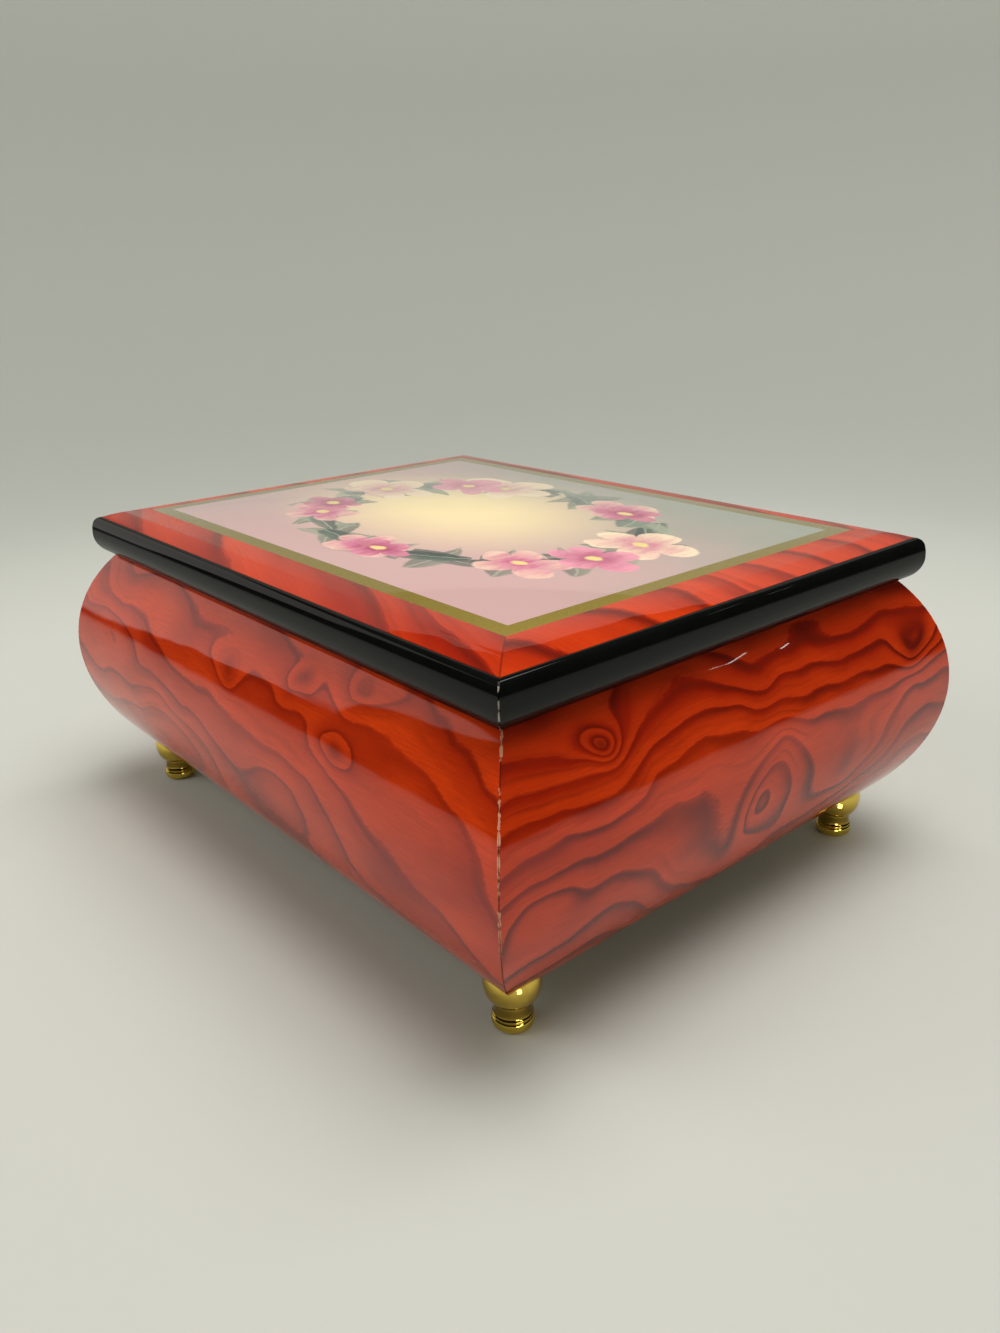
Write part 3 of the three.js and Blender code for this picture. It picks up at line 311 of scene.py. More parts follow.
def cut_out(piece, shape):
    """Cuts a closed shape out of a piece."""
    cutter = new_piece("cutter", shape, None)
    knife = piece.modifiers.new("pocket", "BOOLEAN")
    knife.object, knife.operation, knife.solver = cutter, "DIFFERENCE", "EXACT"
    bpy.context.view_layer.objects.active = piece
    bpy.ops.object.modifier_apply(modifier=knife.name)
    bpy.data.objects.remove(cutter)


def box_shape(low, high):
    """A closed box between two corners."""
    bm = bmesh.new()
    bmesh.ops.create_cube(bm, size=1)
    bmesh.ops.scale(bm, vec=Vector(high) - Vector(low), verts=bm.verts)
    bmesh.ops.translate(bm, vec=(Vector(low) + Vector(high)) / 2, verts=bm.verts)
    return bm


hinge_play = 0.15 * mm
past_outer_face, past_rim = 80 * mm, 70 * mm
for side, (turn, half_run, half_across) in sides.items():
    bm = bmesh.new()
    run_and_mitre(bm, panel_section(bm, half_across, -half_run - spare_run), half_run, half_across)
    soften(bm, eased_edge)
    sheet = bm.loops.layers.uv.new("veneer")
    for face in bm.faces:
        for loop in face.loops:
            out = loop.vert.co - Vector((0, bulge_radius - half_across - bulge, bulge_z))
            up_the_arc = bulge_radius * math.atan2(out.z, -out.y)
            loop[sheet].uv = (out.x + veneer_leaf[side], up_the_arc)
    bmesh.ops.rotate(bm, cent=(0, 0, 0), matrix=Matrix.Rotation(turn, 3, "Z"), verts=bm.verts)
    panel = new_piece(side + "_case_side", bm, veneer, 15)
    if side == "back":
        for hinge in ("left_hinge_case_leaf", "right_hinge_case_leaf"):
            low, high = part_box(hinge)
            inner = (low.x - hinge_play, low.y - hinge_play, low.z - hinge_play)
            cut_out(panel, box_shape(inner, (high.x + hinge_play, past_outer_face, past_rim)))
    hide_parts(side + "_panel")
    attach(panel, "case")


# Base board. A sheet of plywood let into the rebate of the four panels and glued, with holes for the feet's
# studs and for the winding arbor. It is bare underneath.
plywood, tree, shader = new_finish("bare_plywood", Roughness=0.75, Specular_IOR_Level=0.2)
place = lay(tree, "TexCoord").outputs["Object"]
grain = speckle(tree, steer(tree, "MULTIPLY", place, (12.0, 260.0, 40.0)), 1.0, 4.0, 0.65)
flecks = speckle(tree, steer(tree, "MULTIPLY", place, (150.0, 2200.0, 300.0)), 1.0, 2.0)
flecks = fade(tree, flecks, 0.6, 0.75)
colour = tint(tree, grain, (0.42, 0.27, 0.13, 1), (0.62, 0.45, 0.26, 1))
colour = tint(tree, reckon(tree, "MULTIPLY", flecks, 0.5), colour, (0.2, 0.11, 0.05, 1))
tree.links.new(colour, shader["Base Color"])
rough = lay(tree, "Bump", {"Height": grain, "Strength": 0.25, "Distance": 0.2 * mm})
tree.links.new(rough.outputs[0], shader["Normal"])

same_point = 1e-6  # vertices no further apart are merged


def finished_copy(node, finish, width, smooth=35):
    """A CAD node's own shape with its edges softened and its round faces shaded smooth."""
    bm = bmesh.new()
    bm.from_mesh(frame["nodes"][node].data)
    bmesh.ops.remove_doubles(bm, verts=bm.verts, dist=same_point)
    bmesh.ops.dissolve_limit(bm, angle_limit=math.radians(1), verts=bm.verts, edges=bm.edges)
    soften(bm, width)
    piece = new_piece(node + "_finished", bm, finish, smooth)
    piece.modifiers.new("even_shading", "WEIGHTED_NORMAL").keep_sharp = True
    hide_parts(node)
    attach(piece, frame["nodes"][node]["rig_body"])
    return piece


finished_copy("base_board", plywood, 0.2 * mm)


# Feet. Turned brass, polished bright: a ball under the case, a short neck and a rounded base ring. Each has a
# stud that screws into the base board at a corner.
polished_brass, tree, shader = new_finish("polished_brass", Metallic=1.0, Roughness=0.1)
place = lay(tree, "TexCoord").outputs["Object"]
turning = speckle(tree, steer(tree, "MULTIPLY", place, (60.0, 60.0, 5200.0)), 1.0, 2.0)
tarnish = fade(tree, speckle(tree, place, 210.0, 4.0, 0.65), 0.48, 0.75)
colour = tint(tree, reckon(tree, "MULTIPLY", tarnish, 0.4), (0.73, 0.54, 0.10, 1), (0.33, 0.22, 0.04, 1))
# Painted reflection: the neck is coloured darker, standing in for the shade under the ball and the case that
# it mirrors.
height = lay(tree, "SeparateXYZ", {0: place}).outputs[2]
painted_neck_reflection = fade(tree, height, 2.3 * mm, 2.9 * mm)
painted_neck_reflection = reckon(tree, "MULTIPLY", painted_neck_reflection, fade(tree, height, 5.4 * mm, 4.4 * mm))
colour = tint(tree, reckon(tree, "MULTIPLY", painted_neck_reflection, 0.7), colour, (0.20, 0.12, 0.02, 1))
tree.links.new(colour, shader["Base Color"])
gloss = reckon(tree, "MULTIPLY_ADD", tarnish, 0.08, reckon(tree, "MULTIPLY_ADD", turning, 0.02, 0.02))
tree.links.new(gloss, shader["Roughness"])
lines = lay(tree, "Bump", {"Height": turning, "Strength": 0.01, "Distance": 0.05 * mm})
tree.links.new(lines.outputs[0], shader["Normal"])

foot_corners = ("front_left", "front_right", "back_left", "back_right")
foot_top, stud_radius = 11.3 * mm, 1.4 * mm
foot_profile = [  # radius and height in mm up the side, with the bulge of each stretch in between
    ((3.1, 0.0), (3.65, 0.0), (3.92, 0.6), (3.92, 1.3)),
    ((3.92, 1.3), (3.92, 1.8), (3.8, 2.1), (3.5, 2.2)),
    ((3.5, 2.2), (3.82, 2.25), (3.82, 2.65), (3.58, 2.75)),
    ((3.58, 2.75), (3.36, 3.0), (3.28, 3.8), (3.36, 4.95)),
    ((3.36, 5.1), (4.6, 5.8), (5.35, 7.5), (5.35, 9.3)),
    ((5.35, 9.3), (5.35, 10.0), (5.25, 10.7), (5.0, 11.3)),
]
for foot in foot_corners:
    low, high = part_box("foot_" + foot)
    middle = (low + high) / 2
    bm = bmesh.new()
    edge = [bm.verts.new((0, 0, 0))]
    for stretch in foot_profile:
        ends = [Vector((radius, 0, height)) * mm for radius, height in stretch]
        edge += [bm.verts.new(point) for point in interpolate_bezier(*ends, 8)]
    stud = [(stud_radius, foot_top), (stud_radius, high.z), (0, high.z)]
    edge += [bm.verts.new((radius, 0, height)) for radius, height in stud]
    profile = edge + [bm.edges.new(pair) for pair in zip(edge, edge[1:])]
    bmesh.ops.spin(
        bm, geom=profile, cent=(0, 0, 0), axis=(0, 0, 1), angle=2 * math.pi, steps=64, use_merge=True
    )
    bmesh.ops.remove_doubles(bm, verts=bm.verts, dist=same_point)
    bmesh.ops.recalc_face_normals(bm, faces=bm.faces)
    bmesh.ops.translate(bm, vec=(middle.x, middle.y, 0), verts=bm.verts)
    turned = new_piece(foot + "_foot", bm, polished_brass, 40)
    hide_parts("foot_" + foot)
    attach(turned, "case")


# Lid mouldings. Four black-lacquered bull-nosed strips, mitred into a frame that stands out over the case,
# with a rebate inside for the lid panel.
black_lacquer, tree, shader = new_finish(
    "black_lacquer", Roughness=0.3, Coat_Weight=0.55, Coat_Roughness=0.03, Coat_IOR=1.4,
    Specular_IOR_Level=0.0,
)
place = lay(tree, "TexCoord").outputs["Object"]
smear = speckle(tree, place, 90.0, 3.0)
colour = tint(tree, smear, (0.002, 0.002, 0.002, 1), (0.005, 0.006, 0.005, 1))
worn = lay(tree, "Group", {"Vector": place, "Width": 0.2 * mm}, node_tree=mitre_wear).outputs[0]
tree.links.new(tint(tree, worn, colour, (0.5, 0.42, 0.36, 1)), shader["Base Color"])
tree.links.new(reckon(tree, "MULTIPLY_ADD", smear, 0.2, 0.2), shader["Roughness"])
tree.links.new(reckon(tree, "MULTIPLY_ADD", worn, -0.55, 0.55), shader["Coat Weight"])

rebate_z, veneer_z, lid_top = 66.3 * mm, 70.3 * mm, 72.1 * mm
hinge_y, hinge_z, knuckle_clearance = 60.4 * mm, 61.2 * mm, 2.25 * mm
leaf_pocket_low, leaf_pocket_high = 60 * mm, 62.55 * mm
inner_side, rebate_corner = [(-4.0, 66.3), (-4.0, 61.3)], (1.6, 66.3)  # out from the rim and up, in mm
nose = [
    ((0.0, 61.3), (2.22, 61.5), (3.7, 63.65), (3.7, 66.0)),
    ((3.7, 66.0), (3.7, 68.87), (3.145, 70.3), (1.6, 70.3)),
]
for side, (turn, half_run, half_across) in sides.items():
    bm = bmesh.new()
    outline = inner_side[:]
    for stretch in nose:
        curve = interpolate_bezier(*[Vector((out, z, 0)) for out, z in stretch], 30)
        outline += [(point.x, point.y) for point in curve]
    outline.append(rebate_corner)
    start_x = -half_run - spare_run
    corners = [bm.verts.new((start_x, -half_across - out * mm, z * mm)) for out, z in outline]
    bmesh.ops.remove_doubles(bm, verts=corners, dist=same_point)
    section = [bm.faces.new(bm.verts[:])]
    run_and_mitre(bm, section, half_run, half_across)
    soften(bm, eased_edge)
    bmesh.ops.rotate(bm, cent=(0, 0, 0), matrix=Matrix.Rotation(turn, 3, "Z"), verts=bm.verts)
    strip = new_piece(side + "_lid_strip", bm, black_lacquer, 15)
    if side == "back":
        for hinge in ("left_hinge_lid_leaf", "right_hinge_lid_leaf"):
            low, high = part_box(hinge)
            inner = (low.x - hinge_play, low.y - hinge_play, leaf_pocket_low)
            cut_out(strip, box_shape(inner, (high.x + hinge_play, hinge_y, leaf_pocket_high)))
            along_pin = Matrix.Rotation(math.pi / 2, 4, "Y")
            groove = bmesh.new()
            bmesh.ops.create_cone(
                groove, cap_ends=True, segments=48, radius1=knuckle_clearance, radius2=knuckle_clearance,
                depth=high.x - low.x + 2 * hinge_play,
                matrix=Matrix.Translation(((low.x + high.x) / 2, hinge_y, hinge_z)) @ along_pin,
            )
            cut_out(strip, groove)
    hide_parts("lid_moulding_" + side)
    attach(strip, "lid")


# Lid panel. A board let into the mouldings, with four mitred strips of the same veneer that roll down to its
# edge, and a shallow recess for the picture.
panel_lap, rebate_gap, picture_recess = 1.55 * mm, 0.2 * mm, 0.62 * mm
edge_x, edge_y = rim_x + panel_lap, rim_y + panel_lap
picture_x, picture_y = 65.9 * mm, 48.6 * mm
roll = edge_x - picture_x
crown = lid_top - veneer_z
roll_radius = (roll * roll + crown * crown) / (2 * crown)
roll_sweep = math.asin(roll / roll_radius)
roll_steps = 14
bm = box_shape((-edge_x, -edge_y, rebate_z + rebate_gap), (edge_x, edge_y, veneer_z))
top = max(bm.faces, key=lambda face: face.calc_center_median().z)
turned_in, risen = 0, -crown
for step in range(1, roll_steps + 1):
    angle = roll_sweep * (1 - step / roll_steps)
    new_in, new_rise = roll - roll_radius * math.sin(angle), -roll_radius * (1 - math.cos(angle))
    bmesh.ops.inset_region(
        bm, faces=[top], thickness=new_in - turned_in, depth=new_rise - risen, use_even_offset=True
    )
    turned_in, risen = new_in, new_rise
floor = bmesh.ops.extrude_discrete_faces(bm, faces=[top])["faces"]
bmesh.ops.translate(bm, vec=(0, 0, -picture_recess), verts=floor[0].verts)
sheet = bm.loops.layers.uv.new("veneer")
# The long and the short strips are cut slantwise from two more leaves of the sheet
for face in bm.faces:
    middle = face.calc_center_median()
    along_x = abs(middle.y) - edge_y > abs(middle.x) - edge_x
    for loop in face.loops:
        x, y, _ = loop.vert.co
        if along_x:
            loop[sheet].uv = (0.55 * x + 0.25 * y + 1.6, 0.9 * y + 0.3 * x)
        else:
            loop[sheet].uv = (0.9 * x + 0.35 * y + 2.1, 0.75 * y - 0.25 * x)
lid_board = new_piece("lid_board", bm, veneer, 15)
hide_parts("lid_panel")
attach(lid_board, "lid")


# Lid picture. A print under the same lacquer, with a plain olive-gold border: a wreath of leaves and
# five-petalled blossoms on a soft ground that goes from lilac through cream to grey-green.
leaf_inputs = {"Vector": "Vector"} | dict.fromkeys(("Count", "Offset", "Tilt", "Length", "Width"), "Float")
wreath_leaf, asked, given = new_group(
    "wreath_leaf", leaf_inputs, {"Mask": "Float", "Rib": "Float", "Tone": "Float"}
)
blossom_ring, asked_bloom, given_bloom = new_group(
    "blossom_ring", {"Vector": "Vector", "Count": "Float", "Offset": "Float", "Size": "Float"},
    {"Mask": "Float", "Heart": "Float", "Tone": "Float"},
)


def ring_places(tree, asked):
    """Coordinates around and across the nearest motif of a ring, and a number of that motif's own."""
    x, y, _ = lay(tree, "SeparateXYZ", {0: asked["Vector"]}).outputs
    turns = reckon(tree, "DIVIDE", reckon(tree, "ARCTAN2", y, x), 2 * math.pi)
    turns = reckon(tree, "MULTIPLY_ADD", turns, asked["Count"], asked["Offset"])
    number = reckon(tree, "FLOOR", turns)
    own = lay(tree, "TexWhiteNoise", {"W": number}, noise_dimensions="1D").outputs["Value"]
    local = reckon(tree, "SUBTRACT", reckon(tree, "FRACT", turns), 0.5)
    around = reckon(tree, "DIVIDE", reckon(tree, "MULTIPLY", local, 2 * math.pi), asked["Count"])
    flat = lay(tree, "CombineXYZ", {0: x, 1: y}).outputs[0]
    across = reckon(tree, "SUBTRACT", steer(tree, "LENGTH", flat), 1.0)
    return around, across, own


around, across, own = ring_places(wreath_leaf, asked)
tilt = reckon(wreath_leaf, "MULTIPLY_ADD", reckon(wreath_leaf, "SUBTRACT", own, 0.5), 0.9, asked["Tilt"])
turn_sin, turn_cos = reckon(wreath_leaf, "SINE", tilt), reckon(wreath_leaf, "COSINE", tilt)
along = reckon(wreath_leaf, "MULTIPLY", across, turn_sin)
along = reckon(wreath_leaf, "MULTIPLY_ADD", around, turn_cos, along)
side_way = reckon(wreath_leaf, "MULTIPLY", around, turn_sin)
side_way = reckon(wreath_leaf, "SUBTRACT", reckon(wreath_leaf, "MULTIPLY", across, turn_cos), side_way)
share = reckon(wreath_leaf, "DIVIDE", along, asked["Length"])
belly = reckon(wreath_leaf, "SUBTRACT", 1.0, reckon(wreath_leaf, "MULTIPLY", share, share))
belly = reckon(wreath_leaf, "MULTIPLY", belly, reckon(wreath_leaf, "MULTIPLY_ADD", share, -0.35, 1.0))
half_width = reckon(wreath_leaf, "MULTIPLY", belly, asked["Width"])
inside = reckon(wreath_leaf, "SUBTRACT", half_width, reckon(wreath_leaf, "ABSOLUTE", side_way))
within = reckon(wreath_leaf, "LESS_THAN", reckon(wreath_leaf, "ABSOLUTE", share), 1.0)
mask = reckon(wreath_leaf, "MULTIPLY", within, fade(wreath_leaf, inside, -0.004, 0.02))
wreath_leaf.links.new(mask, given["Mask"])
rib = fade(wreath_leaf, reckon(wreath_leaf, "ABSOLUTE", side_way), 0.012, 0.002)
wreath_leaf.links.new(rib, given["Rib"])
tone = reckon(wreath_leaf, "MULTIPLY_ADD", side_way, 5.0, own)
wreath_leaf.links.new(tone, given["Tone"])

around, across, own = ring_places(blossom_ring, asked_bloom)
reach = steer(blossom_ring, "LENGTH", lay(blossom_ring, "CombineXYZ", {0: around, 1: across}).outputs[0])
heading = reckon(blossom_ring, "MULTIPLY_ADD", own, 6.0, reckon(blossom_ring, "ARCTAN2", across, around))
lobe = reckon(blossom_ring, "COSINE", reckon(blossom_ring, "MULTIPLY", heading, 2.5))
lobe = reckon(blossom_ring, "ABSOLUTE", lobe)
petal = reckon(blossom_ring, "MULTIPLY_ADD", reckon(blossom_ring, "POWER", lobe, 0.6), 0.5, 0.5)
petal = reckon(blossom_ring, "MULTIPLY", petal, asked_bloom["Size"])
petal = reckon(blossom_ring, "MULTIPLY", petal, reckon(blossom_ring, "MULTIPLY_ADD", own, 0.35, 0.75))
inside = reckon(blossom_ring, "SUBTRACT", petal, reach)
blossom_ring.links.new(fade(blossom_ring, inside, -0.006, 0.016), given_bloom["Mask"])
blossom_ring.links.new(fade(blossom_ring, reach, 0.055, 0.03), given_bloom["Heart"])
depth = reckon(blossom_ring, "DIVIDE", reach, asked_bloom["Size"])
blossom_ring.links.new(reckon(blossom_ring, "MULTIPLY_ADD", own, 0.5, depth), given_bloom["Tone"])

print_finish, tree, shader = new_finish(
    "lid_print", Roughness=0.45, Coat_Weight=1.0, Coat_Roughness=0.03, Coat_IOR=1.5, Specular_IOR_Level=0.0
)
place = lay(tree, "TexCoord").outputs["Object"]
x, y, _ = lay(tree, "SeparateXYZ", {0: place}).outputs
drift = lay(tree, "TexNoise", {"Vector": place, "Scale": 60.0, "Detail": 6.0, "Roughness": 0.62}).outputs[1]
drift = steer(tree, "SUBTRACT", drift, (0.5, 0.5, 0.5))
brushed = steer(tree, "MULTIPLY_ADD", drift, (5 * mm, 5 * mm, 0.0), place)
ground = reckon(tree, "MULTIPLY_ADD", x, 3.0, reckon(tree, "MULTIPLY", y, 9.0))
patches = reckon(tree, "MULTIPLY_ADD", speckle(tree, place, 26.0, 4.0), 0.5, -0.25)
ground = reckon(tree, "ADD", ground, patches)
colour = tint(tree, fade(tree, ground, -0.15, 0.6), (0.57, 0.365, 0.355, 1), (0.32, 0.345, 0.285, 1))
glow = steer(tree, "MULTIPLY", steer(tree, "SUBTRACT", brushed, (-14 * mm, 4 * mm, 0.0)), (17.0, 25.0, 0.0))
colour = tint(tree, fade(tree, steer(tree, "LENGTH", glow), 1.05, 0.1), colour, (0.95, 0.76, 0.42, 1))
wreath_x, wreath_y = 44 * mm, 31 * mm
wreath = steer(tree, "MULTIPLY", brushed, (1 / wreath_x, 1 / wreath_y, 0.0))
leaf_rings = [  # count, offset, tilt, length, width, dark and light colour, and how well they cover
    (15.0, 0.0, 0.75, 0.36, 0.10, (0.06, 0.08, 0.07, 1), (0.22, 0.27, 0.20, 1), 0.80),
    (17.0, 0.4, -0.8, 0.32, 0.09, (0.11, 0.14, 0.11, 1), (0.36, 0.39, 0.28, 1), 0.75),
    (12.0, 0.7, 0.2, 0.38, 0.095, (0.04, 0.06, 0.055, 1), (0.18, 0.23, 0.18, 1), 0.85),
]
for count, offset, tilt, length, width, dark, light, cover in leaf_rings:
    settings = {"Vector": wreath, "Count": count, "Offset": offset, "Tilt": tilt}
    settings |= {"Length": length, "Width": width}
    leaf = lay(tree, "Group", settings, node_tree=wreath_leaf).outputs
    paint = tint(tree, leaf["Tone"], dark, light)
    paint = tint(tree, reckon(tree, "MULTIPLY", leaf["Rib"], 0.45), paint, (0.5, 0.52, 0.38, 1))
    colour = tint(tree, reckon(tree, "MULTIPLY", leaf["Mask"], cover), colour, paint)
strokes = speckle(tree, steer(tree, "MULTIPLY", brushed, (420.0, 150.0, 0.0)), 1.0, 4.0, 0.65)
strokes = reckon(tree, "MULTIPLY_ADD", strokes, 1.2, -0.75)
bloom_rings = [  # count, offset, size, deep and pale colour
    (7.0, 0.2, 0.34, (0.60, 0.10, 0.26, 1), (0.92, 0.72, 0.50, 1)),
    (5.0, 0.65, 0.27, (0.38, 0.03, 0.13, 1), (0.80, 0.30, 0.40, 1)),
]
for count, offset, size, deep, pale in bloom_rings:
    settings = {"Vector": wreath, "Count": count, "Offset": offset, "Size": size}
    bloom = lay(tree, "Group", settings, node_tree=blossom_ring).outputs
    paint = tint(tree, reckon(tree, "ADD", bloom["Tone"], strokes), deep, pale)
    paint = tint(tree, bloom["Heart"], paint, (0.85, 0.68, 0.25, 1))
    colour = tint(tree, reckon(tree, "MULTIPLY", bloom["Mask"], 0.92), colour, paint)
border_width, print_thickness = 3.8 * mm, 0.6 * mm
inner_corner = (picture_x - border_width, picture_y - border_width, 0.0)
away = steer(tree, "SUBTRACT", steer(tree, "ABSOLUTE", place), inner_corner)
away_x, away_y, _ = lay(tree, "SeparateXYZ", {0: away}).outputs
border = fade(tree, reckon(tree, "MAXIMUM", away_x, away_y), -0.05 * mm, 0.05 * mm)
sparkle = speckle(tree, place, 2600.0, 2.0)
gold = tint(tree, sparkle, (0.22, 0.16, 0.03, 1), (0.34, 0.26, 0.06, 1))
tree.links.new(tint(tree, border, colour, gold), shader["Base Color"])
tree.links.new(reckon(tree, "MULTIPLY", border, 0.45), shader["Metallic"])
bm = box_shape((-picture_x, -picture_y, lid_top - print_thickness), (picture_x, picture_y, lid_top))
soften(bm, 0.05 * mm)
picture = new_piece("lid_print", bm, print_finish)
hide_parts("lid_picture")
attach(picture, "lid")


# Lid lining. A velvet-covered foam pad glued into the lid's frame, crowned in the middle and drawn in
# round its edge.
velvet, tree, shader = new_finish(
    "wine_velvet", Roughness=0.95, Sheen_Weight=0.45, Sheen_Roughness=0.3, Specular_IOR_Level=0.1,
    Sheen_Tint=(0.85, 0.25, 0.3, 1),
)
place = lay(tree, "TexCoord").outputs["Object"]
pile = speckle(tree, place, 2400.0, 3.0, 0.7)
nap = speckle(tree, steer(tree, "MULTIPLY", place, (1.0, 1.6, 1.0)), 75.0, 3.0)
colour = tint(tree, nap, (0.10, 0.006, 0.014, 1), (0.24, 0.018, 0.036, 1))
colour = tint(tree, reckon(tree, "MULTIPLY", pile, 0.5), colour, (0.05, 0.003, 0.008, 1))
tree.links.new(colour, shader["Base Color"])
fluff = lay(tree, "Bump", {"Height": pile, "Strength": 0.5, "Distance": 0.25 * mm})
tree.links.new(fluff.outputs[0], shader["Normal"])

cloth_steps = 20


def plump(piece, voxel, swell, pinned):
    """Swells a pad with a short cloth simulation, holding the points that the pinned test picks."""
    bpy.context.view_layer.objects.active = piece
    remesh = piece.modifiers.new("even", "REMESH")
    remesh.mode, remesh.voxel_size = "VOXEL", voxel
    bpy.ops.object.modifier_apply(modifier=remesh.name)
    before = [v.co.copy() for v in piece.data.vertices]
    held = piece.vertex_groups.new(name="held")
    held.add([i for i, co in enumerate(before) if pinned(co)], 1.0, "REPLACE")
    cloth = piece.modifiers.new("cloth", "CLOTH")
    settings = cloth.settings
    settings.quality = 4
    settings.mass = 0.2
    settings.tension_stiffness = settings.compression_stiffness = 12
    settings.shear_stiffness = 4
    settings.bending_stiffness = 0.3
    settings.use_pressure, settings.uniform_pressure_force = True, 4
    settings.effector_weights.gravity = 0
    settings.vertex_group_mass = held.name
    for step in range(1, cloth_steps + 1):
        bpy.context.scene.frame_set(step)
    swollen = piece.evaluated_get(bpy.context.evaluated_depsgraph_get()).to_mesh()
    after = [v.co.copy() for v in swollen.vertices]
    piece.modifiers.remove(cloth)
    bpy.context.scene.frame_set(1)
    for vert, start, end in zip(piece.data.vertices, before, after):
        move = end - start
        vert.co = start + move * min(1.0, swell / max(move.length, 1e-9))
    subdivide = piece.modifiers.new("smooth", "SUBSURF")
    subdivide.levels = subdivide.render_levels = 1
    piece.data.shade_smooth()


low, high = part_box("lid_lining")
room_below, room_above = Vector((0.3, 0.3, 1.4)) * mm, Vector((0.3, 0.3, 0)) * mm  # for the pad to swell into
crown_inset, crown_drop, glued_depth = 8 * mm, 0.7 * mm, 1.2 * mm
pad = box_shape(low + room_below, high - room_above)
under = min(pad.faces, key=lambda face: face.calc_center_median().z)
bmesh.ops.inset_region(pad, faces=[under], thickness=crown_inset, depth=crown_drop, use_even_offset=True)
soften(pad, 0.8 * mm, segments=3)
lid_pad = new_piece("lid_pad", pad, velvet)
plump(lid_pad, voxel=1.6 * mm, swell=0.7 * mm, pinned=lambda co: co.z > high.z - glued_depth)
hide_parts("lid_lining")
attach(lid_pad, "lid")


# Hinges. Two butt hinges of polished brass, their leaves let into the rim and the lid frame and held by
# countersunk screws; each turns on a plain pin.
for hand in ("left", "right"):
    for leaf in ("case_leaf", "lid_leaf"):
        finished_copy(f"{hand}_hinge_{leaf}", polished_brass, eased_edge)
    finished_copy(f"{hand}_hinge_pin", polished_brass, 0.1 * mm)
slot_turn_rate = 700  # radians per metre along X, so that the slots point each their own way


def slotted_screw(name, place, facing, radius, rise, finish, body):
    """A countersunk screw head with its slot; facing is 1 for up and -1 for down."""
    bm = bmesh.new()
    bmesh.ops.create_cone(bm, cap_ends=True, segments=28, radius1=0.5 * radius, radius2=radius, depth=rise)
    for edge_at in (-0.14, 0.14):
        bmesh.ops.bisect_plane(
            bm, geom=bm.verts[:] + bm.edges[:] + bm.faces[:], plane_co=(edge_at * radius, 0, 0),
            plane_no=(1, 0, 0),
        )
    slot = [f for f in bm.faces if f.normal.z > 0.9 and abs(f.calc_center_median().x) < 0.1 * radius]
    cut = bmesh.ops.extrude_face_region(bm, geom=slot)["geom"]
    bmesh.ops.translate(bm, vec=(0, 0, -0.35 * rise), verts=points_of(cut))
    bmesh.ops.delete(bm, geom=slot, context="FACES_ONLY")
    slot_way = Matrix.Rotation(place[0] * slot_turn_rate, 3, "Z")
    bmesh.ops.rotate(bm, cent=(0, 0, 0), matrix=slot_way, verts=bm.verts)
    if facing < 0:
        bmesh.ops.rotate(bm, cent=(0, 0, 0), matrix=Matrix.Rotation(math.pi, 3, "X"), verts=bm.verts)
    bmesh.ops.translate(bm, vec=place, verts=bm.verts)
    screw = new_piece(name, bm, finish)
    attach(screw, body)
    return screw


from_end, from_edge, sunk_depth = 3.6 * mm, 2.4 * mm, 0.42 * mm
head_radius, head_height = 1.4 * mm, 0.8 * mm
leaf_faces = [("case_leaf", "case", 1, 61.0 * mm), ("lid_leaf", "lid", -1, 61.4 * mm)]
for hand in ("left", "right"):
    for leaf, body, facing, face_z in leaf_faces:
        low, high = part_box(f"{hand}_hinge_{leaf}")
        for end, x in (("a", low.x + from_end), ("b", high.x - from_end)):
            place = (x, low.y + from_edge, face_z - facing * sunk_depth)
            name = f"{hand}_hinge_{leaf}_screw_{end}"
            screw = slotted_screw(name, place, facing, head_radius, head_height, polished_brass, body)


# Linings. Card boards wrapped in velvet cover the walls, the floor of the well and the divider beside the
# movement.
for board in ("lining_left", "lining_right", "lining_front", "lining_back", "divider", "floor_lining"):
    finished_copy(board, velvet, 0.5 * mm)


# Ring rolls. Four foam rolls in velvet stand side by side at the back of the well, so that rings can be
# pushed in between them.
side_room, end_room, foot_room, top_room = 0.45 * mm, 0.5 * mm, 0.3 * mm, 0.4 * mm
glued_height = 1.5 * mm
for number in (1, 2, 3, 4):
    node = f"ring_roll_{number}"
    low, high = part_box(node)
    half = (high.y - low.y) / 2 - side_room
    middle = (low + high) / 2
    bm = bmesh.new()
    foot = bm.verts.new((low.x + end_room, -half, low.z + foot_room))
    shoulder = bm.verts.new((low.x + end_room, -half, high.z - half - top_room))
    bm.edges.new((foot, shoulder))
    spun = bmesh.ops.spin(
        bm, geom=[shoulder], cent=(low.x, 0, shoulder.co.z), axis=(-1, 0, 0), angle=math.pi, steps=16
    )
    last = points_of(spun["geom_last"])[0]
    other = bm.verts.new((low.x + end_room, half, low.z + foot_room))
    bm.edges.new((last, other))
    bm.edges.new((other, foot))
    end = bmesh.ops.edgeloop_fill(bm, edges=bm.edges[:])["faces"]
    run = bmesh.ops.extrude_face_region(bm, geom=end)["geom"]
    bmesh.ops.translate(bm, vec=(high.x - low.x - 2 * end_room, 0, 0), verts=points_of(run))
    bmesh.ops.holes_fill(bm, edges=[e for e in bm.edges if e.is_boundary])
    bmesh.ops.recalc_face_normals(bm, faces=bm.faces)
    soften(bm, 1.2 * mm, segments=3, angle=50)
    bmesh.ops.translate(bm, vec=(0, middle.y, 0), verts=bm.verts)
    roll_pad = new_piece(f"velvet_roll_{number}", bm, velvet)
    plump(roll_pad, voxel=1.1 * mm, swell=0.35 * mm, pinned=lambda co: co.z < low.z + glued_height)
    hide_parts(node)
    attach(roll_pad, "case")


